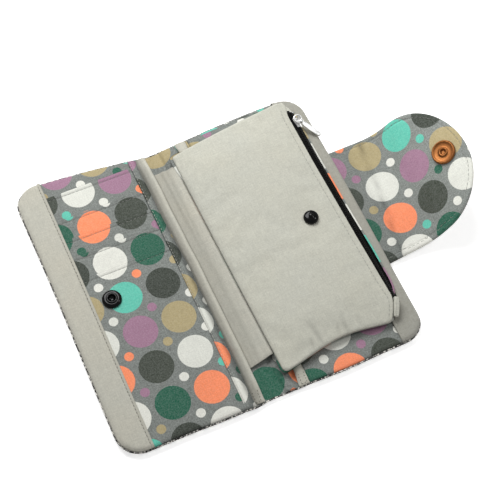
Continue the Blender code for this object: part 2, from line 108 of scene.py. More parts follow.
class Finish:
    """A Principled material with short calls for the nodes that feed it."""

    def __init__(self, name, coords="flat", **sockets):
        self.mat = bpy.data.materials.new(name)
        self.mat.use_nodes = True
        self.t = self.mat.node_tree
        self.t.nodes.clear()
        self.out = self.t.nodes.new("ShaderNodeOutputMaterial")
        self.bsdf = self.t.nodes.new("ShaderNodeBsdfPrincipled")
        self.t.links.new(self.bsdf.outputs[0], self.out.inputs["Surface"])
        for k, v in sockets.items():
            self.bsdf.inputs[k.replace("_", " ")].default_value = v
        if coords == "flat":
            a = self.t.nodes.new("ShaderNodeAttribute")
            a.attribute_type = "GEOMETRY"
            a.attribute_name = "flat"
            self.at = a.outputs["Vector"]
        else:
            c = self.t.nodes.new("ShaderNodeTexCoord")
            self.at = self.vmath("SCALE", c.outputs["Object"], scale=1000.0)

    def put(self, socket, value):
        if isinstance(value, bpy.types.NodeSocket):
            self.t.links.new(value, socket)
        elif value is not None:
            socket.default_value = value

    def to(self, name, value):
        self.put(self.bsdf.inputs[name], value)

    def math(self, op, a, b=None, c=None, clamp=False):
        n = self.t.nodes.new("ShaderNodeMath")
        n.operation = op
        n.use_clamp = clamp
        for i, v in enumerate((a, b, c)):
            if v is not None:
                self.put(n.inputs[i], v)
        return n.outputs[0]

    def vmath(self, op, a, b=None, scale=None):
        n = self.t.nodes.new("ShaderNodeVectorMath")
        n.operation = op
        self.put(n.inputs[0], a)
        if b is not None:
            self.put(n.inputs[1], b)
        if scale is not None:
            self.put(n.inputs["Scale"], scale)
        return n.outputs["Value"] if op in ("LENGTH", "DISTANCE", "DOT_PRODUCT") else n.outputs["Vector"]

    def split(self, v):
        n = self.t.nodes.new("ShaderNodeSeparateXYZ")
        self.put(n.inputs[0], v)
        return n.outputs[0], n.outputs[1], n.outputs[2]

    def join(self, x, y, z=0.0):
        n = self.t.nodes.new("ShaderNodeCombineXYZ")
        for i, v in enumerate((x, y, z)):
            self.put(n.inputs[i], v)
        return n.outputs[0]

    def noise(self, vec, scale=1.0, detail=2.0, rough=0.5, distort=0.0, dims="3D"):
        n = self.t.nodes.new("ShaderNodeTexNoise")
        n.noise_dimensions = dims
        self.put(n.inputs["Vector"], vec)
        n.inputs["Scale"].default_value = scale
        n.inputs["Detail"].default_value = detail
        n.inputs["Roughness"].default_value = rough
        n.inputs["Distortion"].default_value = distort
        return n.outputs[0]

    def voronoi(self, vec, scale=1.0, feature="F1", dims="3D", random=1.0):
        n = self.t.nodes.new("ShaderNodeTexVoronoi")
        n.voronoi_dimensions = dims
        n.feature = feature
        self.put(n.inputs["Vector"], vec)
        n.inputs["Scale"].default_value = scale
        n.inputs["Randomness"].default_value = random
        return n.outputs

    def ramp(self, fac, stops, mode="LINEAR"):
        n = self.t.nodes.new("ShaderNodeValToRGB")
        n.color_ramp.interpolation = mode
        e = n.color_ramp.elements
        e[0].position, e[0].color = stops[0]
        e[1].position, e[1].color = stops[1]
        for p, c in stops[2:]:
            q = e.new(p)
            q.color = c
        self.put(n.inputs[0], fac)
        return n.outputs[0]

    def mix(self, fac, a, b, mode="MIX"):
        n = self.t.nodes.new("ShaderNodeMix")
        n.data_type = "RGBA"
        n.blend_type = mode
        self.put(n.inputs[0], fac)
        self.put(n.inputs[6], a)
        self.put(n.inputs[7], b)
        return n.outputs[2]

    def scale_range(self, v, a0, a1, b0, b1):
        n = self.t.nodes.new("ShaderNodeMapRange")
        self.put(n.inputs[0], v)
        for i, x in enumerate((a0, a1, b0, b1)):
            n.inputs[1 + i].default_value = x
        return n.outputs[0]

    def shade(self, colour, factor):
        """The colour, made lighter or darker by a factor round 1."""
        return self.mix(1.0, colour, self.join(factor, factor, factor), "MULTIPLY")

    def bump(self, height, distance, strength=1.0, normal=None):
        n = self.t.nodes.new("ShaderNodeBump")
        n.inputs["Strength"].default_value = strength
        n.inputs["Distance"].default_value = distance
        self.put(n.inputs["Height"], height)
        if normal is not None:
            self.put(n.inputs["Normal"], normal)
        return n.outputs[0]

    def plain_weave(self, pitch):
        """Height 0-1 of a plain weave, and a sign that tells warp from weft."""
        wob = self.noise(self.at, 0.35, 1.0)
        moved = self.vmath("ADD", self.at, self.vmath("SCALE", self.join(wob, wob, 0.0), scale=pitch * 0.9))
        x, y, _ = self.split(self.vmath("SCALE", moved, scale=math.pi / pitch))
        s = self.math("MULTIPLY", self.math("SINE", x), self.math("SINE", y))
        return self.math("POWER", self.math("ABSOLUTE", s), 0.6), s

    def edge_shade(self, least):
        """Painted shade: 1, falling to least where the edge attribute marks folded and cut edges, stitch lines, creases
        and hollows.
        """
        a = self.t.nodes.new("ShaderNodeAttribute")
        a.attribute_type = "GEOMETRY"
        a.attribute_name = "edge"
        return self.scale_range(a.outputs["Fac"], 0.0, 1.0, 1.0, least)

    def yarns(self, fine=0.55, long=7.0):
        """Streaks along the warp and the weft, about 0.5 on average."""
        x, y, z = self.split(self.at)
        a = self.noise(self.join(self.math("DIVIDE", x, fine), self.math("DIVIDE", y, long), z), 1.0, 1.0)
        b = self.noise(self.join(self.math("DIVIDE", x, long), self.math("DIVIDE", y, fine), self.math("ADD", z, 31.0)), 1.0, 1.0)
        return self.math("MULTIPLY", self.math("ADD", a, b), 0.5)


def plain_cloth(name, colour, warm, least=0.72):
    f = Finish(name, Roughness=0.88, Sheen_Weight=0.12, Sheen_Roughness=0.5, Specular_IOR_Level=0.22)
    h, s = f.plain_weave(0.52)
    yarn = f.yarns()
    blotch = f.noise(f.at, 0.028, 3.0, 0.55)
    fleck = f.noise(f.at, 0.9, 2.0, 0.6)
    cloud = f.noise(f.at, 0.3, 2.0, 0.6)
    base = f.mix(f.scale_range(blotch, 0.3, 0.7, 0.0, 1.0), colour, warm)
    k = f.scale_range(yarn, 0.32, 0.68, 0.915, 1.085)
    k = f.math("MULTIPLY", k, f.scale_range(fleck, 0.25, 0.75, 0.91, 1.09))
    k = f.math("MULTIPLY", k, f.scale_range(cloud, 0.25, 0.75, 0.965, 1.035))
    k = f.math("MULTIPLY", k, f.scale_range(s, -1.0, 1.0, 0.972, 1.028))
    # painted shade: darker where the weave dips between thread crossings
    k = f.math("MULTIPLY", k, f.scale_range(h, 0.0, 1.0, 0.90, 1.03))
    # painted shade: darker along edges, stitch lines, creases and hollows, down to least
    f.to("Base Color", f.shade(base, f.math("MULTIPLY", k, f.edge_shade(least))))
    f.to("Roughness", f.scale_range(yarn, 0.3, 0.7, 0.82, 0.95))
    rumple = f.noise(f.at, 0.16, 3.0, 0.55)
    n = f.bump(rumple, 0.00045, 0.5)
    f.to("Normal", f.bump(f.math("ADD", h, f.math("MULTIPLY", yarn, 0.8)), 0.00007, 0.55, n))
    return f.mat


PALETTE = [srgb(226, 226, 217), srgb(48, 98, 79), srgb(250, 146, 104), srgb(72, 77, 69), srgb(220, 221, 212),
           srgb(160, 122, 144), srgb(173, 159, 121), srgb(100, 194, 173), srgb(66, 71, 64)]


def dot_print(name, ground, cell=26.5, big=11.3, small=3.1, painted_light_ramp=None):
    """A mid-grey cotton printed with plain dots in two sizes on a square grid."""
    f = Finish(name, Roughness=0.86, Sheen_Weight=0.10, Sheen_Roughness=0.5, Specular_IOR_Level=0.22)
    h, s = f.plain_weave(0.50)
    yarn = f.yarns(0.5, 6.0)
    # the ink's edge creeps along the threads
    jitter = f.math("MULTIPLY", f.math("SUBTRACT", f.noise(f.at, 1.6, 2.0), 0.5), 0.55)
    x, y, _ = f.split(f.at)
    gx, gy = f.math("DIVIDE", x, cell), f.math("DIVIDE", y, cell)

    def spots(gx, gy, radius, step_y, colours):
        ix, iy = f.math("FLOOR", gx), f.math("FLOOR", gy)
        lx = f.math("SUBTRACT", f.math("SUBTRACT", gx, ix), 0.5)
        ly = f.math("SUBTRACT", f.math("SUBTRACT", gy, iy), 0.5)
        r = f.math("MULTIPLY", f.vmath("LENGTH", f.join(lx, ly, 0.0)), cell)
        r = f.math("ADD", r, jitter)
        mask = f.scale_range(r, radius + 0.10, radius - 0.10, 0.0, 1.0)
        k = f.math("ADD", ix, f.math("MULTIPLY", iy, step_y))
        k = f.math("DIVIDE", f.math("FLOORED_MODULO", k, 9.0), 9.0)
        k = f.math("ADD", k, 0.02)
        stops = [(i / 9.0, c) for i, c in enumerate(colours)]
        return mask, f.ramp(k, stops, "CONSTANT")

    m1, c1 = spots(gx, gy, big, 2.0, PALETTE)
    m2, c2 = spots(f.math("ADD", gx, 0.5), f.math("ADD", gy, 0.5), small, 4.0,
                   [PALETTE[i] for i in (0, 7, 0, 2, 6, 0, 1, 4, 5)])
    # the ink lets the grey cloth show a little between the threads
    thin = f.scale_range(f.math("ADD", f.math("MULTIPLY", h, 0.5), yarn), 0.3, 0.9, 0.86, 0.99)
    mottled = f.noise(f.at, 1.15, 2.0, 0.7)
    g = f.shade(ground, f.math("MULTIPLY", f.scale_range(yarn, 0.3, 0.7, 0.86, 1.14), f.scale_range(mottled, 0.25, 0.75, 0.76, 1.24)))
    # painted light: paler along x across the given span
    if painted_light_ramp:
        g = f.shade(g, f.scale_range(x, painted_light_ramp[0], painted_light_ramp[1], 0.98, 1.12))
    c = f.mix(f.math("MULTIPLY", m1, thin), g, c1)
    c = f.mix(f.math("MULTIPLY", m2, thin), c, c2)
    # single lighter and darker threads, most seen in the dark inks
    grain = f.math("MULTIPLY", f.math("SUBTRACT", f.noise(f.at, 1.1, 2.0, 0.8), 0.5), 0.19)
    c = f.mix(1.0, c, f.join(grain, grain, grain), "ADD")
    k = f.scale_range(f.noise(f.at, 0.03, 2.0), 0.3, 0.7, 0.96, 1.04)
    k = f.math("MULTIPLY", k, f.scale_range(yarn, 0.32, 0.68, 0.95, 1.05))
    k = f.math("MULTIPLY", k, f.scale_range(mottled, 0.25, 0.75, 0.92, 1.08))
    # painted shade: darker where the weave dips between thread crossings
    k = f.math("MULTIPLY", k, f.scale_range(h, 0.0, 1.0, 0.91, 1.03))
    # painted light: paler along x across the given span
    if painted_light_ramp:
        k = f.math("MULTIPLY", k, f.scale_range(x, painted_light_ramp[0], painted_light_ramp[1], painted_light_ramp[2], painted_light_ramp[3]))
    # painted shade: darker along edges, stitch lines, creases and hollows
    f.to("Base Color", f.shade(c, f.math("MULTIPLY", k, f.edge_shade(0.55))))
    f.to("Roughness", f.scale_range(f.math("MAXIMUM", m1, m2), 0.0, 1.0, 0.92, 0.80))
    rumple = f.noise(f.at, 0.16, 3.0, 0.55)
    n = f.bump(rumple, 0.00035, 0.5)
    f.to("Normal", f.bump(f.math("ADD", h, f.math("MULTIPLY", yarn, 0.8)), 0.00007, 0.55, n))
    return f.mat


def tweed(name):
    """Black, grey and white yarns in a salt-and-pepper basket weave."""
    f = Finish(name, Roughness=0.95, Sheen_Weight=0.25, Sheen_Roughness=0.6, Specular_IOR_Level=0.15)
    stretch = f.vmath("MULTIPLY", f.at, (1.0, 0.62, 1.0))
    v = f.voronoi(stretch, 0.95, "F1", "3D", 0.85)
    pick = f.split(v["Color"])[0]
    yarn = f.ramp(pick, [(0.0, srgb(18, 18, 19)), (0.44, srgb(60, 59, 58)), (0.56, srgb(124, 122, 118)), (0.70, srgb(226, 223, 215))], "CONSTANT")
    fine = f.voronoi(f.at, 3.4, "F1", "3D", 1.0)
    hair = f.noise(f.at, 3.0, 3.0, 0.7)
    c = f.shade(yarn, f.scale_range(hair, 0.2, 0.8, 0.72, 1.28))
    c = f.mix(f.scale_range(f.split(fine["Color"])[1], 0.86, 0.9, 0.0, 0.75), c, srgb(225, 223, 216))
    f.to("Base Color", c)
    f.to("Roughness", f.scale_range(hair, 0.3, 0.7, 0.88, 1.0))
    hgt = f.math("SUBTRACT", 1.0, v["Distance"])
    n = f.bump(hgt, 0.0005, 0.8)
    f.to("Normal", f.bump(hair, 0.0002, 0.7, n))
    return f.mat


def thread(name, colour, rough=0.7):
    f = Finish(name, Roughness=rough, Sheen_Weight=0.1, Specular_IOR_Level=0.3)
    x, y, z = f.split(f.at)
    twist = f.math("SINE", f.math("MULTIPLY", f.math("ADD", f.math("ADD", x, y), z), 9.0))
    n = f.noise(f.at, 2.0, 2.0)
    # painted shade: darker in the grooves of the twist
    f.to("Base Color", f.shade(colour, f.math("MULTIPLY", f.scale_range(twist, -1, 1, 0.88, 1.08), f.scale_range(n, 0.2, 0.8, 0.9, 1.1))))
    f.to("Roughness", f.scale_range(n, 0.3, 0.7, rough - 0.08, rough + 0.1))
    f.to("Normal", f.bump(twist, 0.00006, 0.6))
    return f.mat


def metal(name, colour, rough, spread, coords="flat", grain=1.2, specks=0.0):
    f = Finish(name, coords, Metallic=1.0, Roughness=rough)
    n = f.noise(f.at, grain, 3.0, 0.6)
    fine = f.noise(f.at, 9.0, 2.0, 0.7)
    f.to("Base Color", f.shade(colour, f.scale_range(n, 0.25, 0.75, 0.93, 1.05)))
    f.to("Roughness", f.math("ADD", f.scale_range(n, 0.3, 0.7, rough - spread, rough + spread), f.scale_range(fine, 0.3, 0.7, -0.02, 0.03)))
    f.to("Normal", f.bump(fine, 0.00001 + specks, 0.35))
    return f.mat


def lacquer(name, colour, rough):
    f = Finish(name, Roughness=rough, Specular_IOR_Level=0.2, Coat_Weight=0.06, Coat_Roughness=0.03)
    n = f.noise(f.at, 0.8, 3.0, 0.6)
    f.to("Base Color", f.shade(colour, f.scale_range(n, 0.25, 0.75, 0.85, 1.2)))
    f.to("Roughness", f.scale_range(n, 0.3, 0.7, rough - 0.05, rough + 0.08))
    f.to("Normal", f.bump(f.noise(f.at, 3.0, 2.0), 0.00001, 0.4))
    return f.mat


def tape_cloth(name):
    f = Finish(name, Roughness=0.9, Sheen_Weight=0.01, Sheen_Roughness=0.4, Specular_IOR_Level=0.1)
    x, y, z = f.split(f.at)
    rib = f.math("SINE", f.math("MULTIPLY", y, 2 * math.pi / 0.55))
    wale = f.math("SINE", f.math("MULTIPLY", x, 2 * math.pi / 0.7))
    h = f.math("MULTIPLY", f.math("ADD", rib, wale), 0.25)
    n = f.noise(f.at, 1.2, 2.0)
    # painted shade: darker in the dips between the tape's ribs
    f.to("Base Color", f.shade(srgb(9, 10, 9), f.math("MULTIPLY", f.scale_range(h, -0.5, 0.5, 0.75, 1.3), f.scale_range(n, 0.2, 0.8, 0.8, 1.2))))
    f.to("Roughness", f.scale_range(n, 0.3, 0.7, 0.72, 0.88))
    f.to("Normal", f.bump(h, 0.00012, 0.7))
    return f.mat


def nylon(name):
    f = Finish(name, Roughness=0.5, Specular_IOR_Level=0.2)
    n = f.noise(f.at, 1.5, 2.0)
    f.to("Base Color", f.shade(srgb(8, 9, 8), f.scale_range(n, 0.2, 0.8, 0.8, 1.25)))
    f.to("Roughness", f.scale_range(n, 0.3, 0.7, 0.40, 0.56))
    f.to("Normal", f.bump(f.noise(f.at, 6.0, 2.0), 0.00003, 0.4))
    return f.mat


def board(name):
    f = Finish(name, "object", Roughness=0.8, Specular_IOR_Level=0.3)
    n = f.noise(f.at, 0.5, 4.0, 0.65)
    f.to("Base Color", f.shade(srgb(203, 196, 180), f.scale_range(n, 0.25, 0.75, 0.9, 1.07)))
    f.to("Roughness", f.scale_range(n, 0.3, 0.7, 0.74, 0.86))
    f.to("Normal", f.bump(f.noise(f.at, 2.0, 3.0), 0.00006, 0.5))
    return f.mat


def pale_floor(name):
    f = Finish(name, "object", Roughness=0.6, Specular_IOR_Level=0.2)
    n = f.noise(f.at, 0.002, 2.0)
    f.to("Base Color", f.shade((0.95, 0.95, 0.95, 1.0), f.scale_range(n, 0.3, 0.7, 0.995, 1.005)))
    # a light table: it lifts the shadows round the wallet
    f.bsdf.inputs["Emission Color"].default_value = (1.0, 1.0, 1.0, 1.0)
    f.bsdf.inputs["Emission Strength"].default_value = 0.52
    return f.mat


BEIGE = plain_cloth("beige_cotton", srgb(184, 183, 172), srgb(187, 184, 171))
BEIGE_POUCH = plain_cloth("pouch_cotton", srgb(188, 188, 177), srgb(190, 189, 176))
# painted shade: a darker copy of the beige cotton for the back band beside the tall pouch
BEIGE_BACK_SHADED = plain_cloth("band_cotton_shaded", srgb(157, 156, 147), srgb(161, 159, 148))
# copies of the beige cotton whose painted shade in folds and hollows goes deeper
BEIGE_SPINE_SHADED = plain_cloth("spine_cotton_shaded", srgb(184, 183, 172), srgb(187, 184, 171), 0.5)
BEIGE_RIDGE_SHADED = plain_cloth("ridge_cotton_shaded", srgb(185, 184, 173), srgb(188, 185, 172), 0.45)
PRINT = dot_print("dotted_cotton", srgb(126, 130, 126))
# painted light: the flap's cloth, made paler towards its curled-up tip
PRINT_FLAP_LIT = dot_print("dotted_cotton_flap_lit", srgb(126, 130, 126), painted_light_ramp=(102.0, 146.0, 0.93, 1.19))
TWEED = tweed("salt_and_pepper_tweed")
THREAD_GREY = thread("grey_thread", srgb(140, 141, 135))
THREAD_DARK = thread("dark_thread", srgb(66, 64, 58))
THREAD_PALE = thread("pale_thread", srgb(186, 184, 175))
COPPER = metal("copper_plate", srgb(150, 97, 56), 0.45, 0.07, specks=0.00001)
NICKEL = metal("nickel_plate", srgb(236, 236, 234), 0.42, 0.06)
GUNMETAL = lacquer("black_plate", srgb(7, 8, 8), 0.13)
TAPE = tape_cloth("black_zip_tape")
NYLON = nylon("black_nylon")
STEEL_IN = metal("backing_steel", srgb(190, 190, 188), 0.34, 0.07, coords="object")
BOARD = board("interfacing_board")


# ---------------------------------------------------------------------------
# mesh helpers
# ---------------------------------------------------------------------------
def wave(x, y, seed=0):
    """Smooth gradient noise, about -0.7 to 0.7, one lump per unit."""
    x, y = np.broadcast_arrays(np.asarray(x, float), np.asarray(y, float))
    xi, yi = np.floor(x).astype(np.int64), np.floor(y).astype(np.int64)
    fx, fy = x - xi, y - yi
    mask = 0xFFFFFFFF

    def grad(ix, iy, dx, dy):
        h = (ix * 374761393 + iy * 668265263 + seed * 974711) & mask
        h = ((h ^ (h >> 13)) * 1274126177) & mask
        a = (h ^ (h >> 16)) / 2.0 ** 32 * 2 * math.pi
        return np.cos(a) * dx + np.sin(a) * dy

    u = fx ** 3 * (fx * (fx * 6 - 15) + 10)
    v = fy ** 3 * (fy * (fy * 6 - 15) + 10)
    a = grad(xi, yi, fx, fy) * (1 - u) + grad(xi + 1, yi, fx - 1, fy) * u
    b = grad(xi, yi + 1, fx, fy - 1) * (1 - u) + grad(xi + 1, yi + 1, fx - 1, fy - 1) * u
    return a * (1 - v) + b * v


def step(x, a, b):
    t = np.clip((np.asarray(x, float) - a) / (b - a), 0, 1)
    return t * t * (3 - 2 * t)


def bell(x, mid, wide):
    return np.exp(-((np.asarray(x, float) - mid) / wide) ** 2)


def put(name, verts, faces, mat, flat=None, phase=(0, 0, 0), sharp=None, edge=None):
    me = bpy.data.meshes.new(name)
    verts = np.asarray(verts, float)
    me.from_pydata((verts * MM).tolist(), [], [list(map(int, f)) for f in faces])
    me.update()
    me.materials.append(mat)
    flat = (verts if flat is None else np.asarray(flat, float)) + np.array(phase, float)
    a = me.attributes.new("flat", "FLOAT_VECTOR", "POINT")
    a.data.foreach_set("vector", flat.astype(np.float32).ravel())
    # the edge attribute carries painted shade: the materials darken the cloth where it is high
    if edge is not None:
        b = me.attributes.new("edge", "FLOAT", "POINT")
        b.data.foreach_set("value", np.clip(edge, 0, 1).astype(np.float32).ravel())
    me.shade_smooth()
    if sharp:
        me.set_sharp_from_angle(angle=math.radians(sharp))
    o = bpy.data.objects.new(name, me)
    COLLECTION.objects.link(o)
    return o


def rim(d, r):
    t = np.clip(1 - np.asarray(d, float) / r, 0, 1)
    return np.sqrt(1 - t * t)


def marks(length, pace, r0=(0.5,), r1=(0.5,), extra=()):
    """Where the rows of a sheet lie: close together round its rims."""
    out = [0.0, length]
    arc = (0.034, 0.134, 0.293, 0.5, 0.741, 1.0)
    for r in r0:
        out += [r * a for a in arc]
    for r in r1:
        out += [length - r * a for a in arc]
    lo, hi = max([0.0, *r0]), length - max([0.0, *r1])
    n = max(1, int(math.ceil((hi - lo) / pace)))
    out += [lo + (hi - lo) * i / n for i in range(n + 1)]
    keep = []
    fixed = sorted(set([0.0, length] + list(extra)))
    for v in sorted(out + list(extra)):
        if v < -1e-9 or v > length + 1e-9:
            continue
        if keep and v - keep[-1] < 0.02:
            continue
        keep.append(v)
    keep[-1] = length
    return np.array(keep)


def quads(top, bot, walls):
    """Faces of a closed slab from its two index grids."""
    nu, nv = top.shape
    f = []
    a, b, c, d = top[:-1, :-1], top[1:, :-1], top[1:, 1:], top[:-1, 1:]
    f += np.stack([a, b, c, d], -1).reshape(-1, 4).tolist()
    a, b, c, d = bot[:-1, :-1], bot[:-1, 1:], bot[1:, 1:], bot[1:, :-1]
    f += np.stack([a, b, c, d], -1).reshape(-1, 4).tolist()

    def wall(t, o, flip):
        for k in range(len(t) - 1):
            q = [t[k], t[k + 1], o[k + 1], o[k]]
            if flip:
                q.reverse()
            r = [v for i, v in enumerate(q) if v != q[i - 1]]
            if len(set(r)) >= 3:
                f.append(r)

    if "l" in walls:
        wall(top[0, :], bot[0, :], False)
    if "r" in walls:
        wall(top[-1, :], bot[-1, :], True)
    if "b" in walls:
        wall(top[:, 0], bot[:, 0], True)
    if "t" in walls:
        wall(top[:, -1], bot[:, -1], False)
    return f


def closed_sheet(name, TOP, BOT, mat, walls="", flat=None, phase=(0, 0, 0), sharp=None, edge=None):
    """A closed slab from two (nu, nv, 3) grids that share their border rows,
    but for the sides named in walls."""
    nu, nv = TOP.shape[:2]
    top = np.arange(nu * nv).reshape(nu, nv)
    own = np.zeros((nu, nv), bool)
    own[1:-1, 1:-1] = True
    if "l" in walls:
        own[0, 1:-1] = True
    if "r" in walls:
        own[-1, 1:-1] = True
    if "b" in walls:
        own[1:-1, 0] = True
    if "t" in walls:
        own[1:-1, -1] = True
    bot = top.copy()
    bot[own] = nu * nv + np.arange(own.sum())
    verts = np.concatenate([TOP.reshape(-1, 3), BOT[own]])
    if flat is not None:
        flat = np.concatenate([flat.reshape(-1, 3), flat[own] + np.array([0, 0, -1.0])])
    if edge is not None:
        edge = np.concatenate([edge.reshape(-1), edge[own]])
    return put(name, verts, quads(top, bot, walls), mat, flat, phase, sharp, edge)


def corner(p, q, r):
    """Bends a square corner's grid round an arc; p and q run in from its sides."""
    inside = (p < r) & (q < r)
    d = np.minimum(p, q)
    a = np.maximum(r - d, 1e-9)
    phi = (1 - np.clip((np.maximum(p, q) - d) / a, 0, 1)) * math.pi / 4
    near, far = r - a * np.cos(phi), r - a * np.sin(phi)
    p2 = np.where(p <= q, near, far)
    q2 = np.where(p <= q, far, near)
    return np.where(inside, p2, p), np.where(inside, q2, q)


def plate(name, box, mat, top, bottom, sides=None, pace=(4.0, 4.0), radii=(0, 0, 0, 0), warp=None,
          extra=((), ()), phase=(0, 0, 0), walls="", relief=None, worn="lrbt", groove=None):
    """A cloth layer over a rectangle (x0, x1, y0, y1). sides gives each side
    (height where its faces meet, rounding of the top, of the underside)."""
    x0, x1, y0, y1 = box
    sides = {**{k: (None, 0.5, 0.5) for k in "lrbt"}, **(sides or {})}
    P = marks(x1 - x0, pace[0], sides["l"][1:] if "l" not in walls else (), sides["r"][1:] if "r" not in walls else (), [e - x0 for e in extra[0]])
    Q = marks(y1 - y0, pace[1], sides["b"][1:] if "b" not in walls else (), sides["t"][1:] if "t" not in walls else (), [e - y0 for e in extra[1]])
    P, Q = np.meshgrid(P, Q, indexing="ij")
    W, H = x1 - x0, y1 - y0
    dist = {"l": P, "r": W - P, "b": Q, "t": H - Q}
    p, q = P.copy(), Q.copy()
    bl, br, tr, tl = radii
    if bl:
        p, q = corner(p, q, bl)
    if tl:
        a, b = corner(p, H - q, tl)
        p, q = a, H - b
    if br:
        a, b = corner(W - p, q, br)
        p, q = W - a, b
    if tr:
        a, b = corner(W - p, H - q, tr)
        p, q = W - a, H - b
    x, y = x0 + p, y0 + q
    move = relief(x, y) if relief else None
    if warp:
        x, y = warp(x, y)
    zt, zb = top(x, y), bottom(x, y)
    zt, zb = np.broadcast_to(zt, x.shape), np.broadcast_to(zb, x.shape)
    rt, rb = np.ones_like(x), np.ones_like(x)
    zl, total = np.zeros_like(x), np.zeros_like(x)
    for k in "lrbt":
        if k in walls:
            continue
        lip, a, b = sides[k]
        lip = (zt + zb) / 2 if lip is None else (lip(x, y) if callable(lip) else lip)
        w = 1 / (dist[k] + 1e-3) ** 2
        zl, total = zl + w * lip, total + w
        rt, rb = rt * rim(dist[k], a), rb * rim(dist[k], b)
    if total.any():
        zl = zl / np.maximum(total, 1e-12)
    ZT = zl + (zt - zl) * rt
    ZB = zl + (zb - zl) * rb
    TOP, BOT = np.stack([x, y, ZT], -1), np.stack([x, y, ZB], -1)
    if move is not None:
        TOP = TOP + move * np.minimum(np.min([dist[k] for k in "lrbt"], 0) / 2.0, 1)[..., None]
    flat = np.stack([x, y, ZT - zt], -1)
    # painted shade: the cloth's colour is darkened along the listed sides and wherever groove asks, through the edge
    # attribute
    painted_shade = np.zeros_like(x)
    for k in worn:
        painted_shade = np.maximum(painted_shade, np.clip(1 - dist[k] / 0.5, 0, 1) ** 0.6)
    if groove is not None:
        painted_shade = np.maximum(painted_shade, groove(x, y))
    return closed_sheet(name, TOP, BOT, mat, walls, flat, phase, 50 if walls else None, painted_shade)


def surface(*pieces):
    """The joined surface of some pieces, for laying stitches on."""
    vs, fs = [], []
    for o in pieces:
        n = len(vs)
        vs += [v.co.copy() for v in o.data.vertices]
        fs += [[n + i for i in p.vertices] for p in o.data.polygons]
    return BVHTree.FromPolygons(vs, fs)


def capsules(name, runs, mat, sides=6):
    """Short rounded strands; each run is (points, normals, radius), all mm."""
    verts, faces, flat = [], [], []
    for k, (pts, nrm, r) in enumerate(runs):
        n = len(pts)
        base = len(verts)
        for i in range(n):
            t = pts[min(i + 1, n - 1)] - pts[max(i - 1, 0)]
            t = t / max(np.linalg.norm(t), 1e-9)
            b = np.cross(t, nrm[i])
            b = b / max(np.linalg.norm(b), 1e-9)
            m = np.cross(b, t)
            f = i / (n - 1)
            rr = r * (1.0 if 0.12 < f < 0.88 else 0.45)
            for j in range(sides):
                a = 2 * math.pi * j / sides
                verts.append(pts[i] + rr * (math.cos(a) * b + math.sin(a) * m))
                flat.append((pts[i][0] + 3.1 * k, pts[i][1], pts[i][2]))
        for i in range(n - 1):
            for j in range(sides):
                a, c = base + i * sides + j, base + i * sides + (j + 1) % sides
                faces.append([a, c, c + sides, a + sides])
        faces.append([base + j for j in range(sides)][::-1])
        faces.append([base + (n - 1) * sides + j for j in range(sides)])
    # outward faces
    o = put(name, verts, faces, mat, np.array(flat))
    import bmesh
    bm = bmesh.new()
    bm.from_mesh(o.data)
    bmesh.ops.recalc_face_normals(bm, faces=bm.faces)
    bm.to_mesh(o.data)
    bm.free()
    return o


def resample(path, pace=0.25):
    path = np.asarray(path, float)
    seg = np.linalg.norm(np.diff(path, axis=0), axis=1)
    s = np.concatenate([[0], np.cumsum(seg)])
    n = max(2, int(s[-1] / pace) + 1)
    t = np.linspace(0, s[-1], n)
    return np.stack([np.interp(t, s, path[:, i]) for i in range(path.shape[1])], 1), t


def stitches(name, paths, bvh, mat, length=2.3, gap=0.9, radius=0.2, side=1, seed=0, lift=0.35):
    """Running stitches laid along paths of (x, y) on a surface from above, or
    of (x, y, z) to its nearest point."""
    runs = []
    rng = np.random.default_rng(100 + seed)
    for path in paths:
        pts, t = resample(path)
        k = 0.4
        while k + length < t[-1]:
            here = []
            long = length * (1 + 0.08 * rng.standard_normal())
            for i in range(5):
                s = k + long * i / 4
                q = np.array([np.interp(s, t, pts[:, c]) for c in range(pts.shape[1])])
                if len(q) == 2:
                    hit = bvh.ray_cast(Vector((q[0] * MM, q[1] * MM, 0.06 * side)), Vector((0, 0, -side)))
                    if hit[0] is None:
                        break
                    loc, nor = np.array(hit[0]) / MM, np.array(hit[1])
                else:
                    hit = bvh.find_nearest(Vector(q) * MM)
                    loc, nor = np.array(hit[0]) / MM, np.array(hit[1])
                f = i / 4
                here.append((loc + nor * radius * (lift * math.sin(math.pi * f) * 1.6 - 0.3), nor))
            if len(here) == 5:
                runs.append((np.array([h[0] for h in here]), [h[1] for h in here], radius))
            k += long + gap
    return capsules(name, runs, mat)


def eased(profile, r=0.25, n=3):
    """A turned profile with its corners rounded."""
    pts = [np.array(p, float) for p in profile]
    out = [pts[0]]
    for a, b, c in zip(pts, pts[1:], pts[2:]):
        u, v = a - b, c - b
        lu, lv = np.linalg.norm(u), np.linalg.norm(v)
        k = min(r, lu * 0.45, lv * 0.45)
        s, e = b + u / lu * k, b + v / lv * k
        for i in range(n + 1):
            t = i / n
            out.append((1 - t) ** 2 * s + 2 * t * (1 - t) * b + t * t * e)
    out.append(pts[-1])
    return out


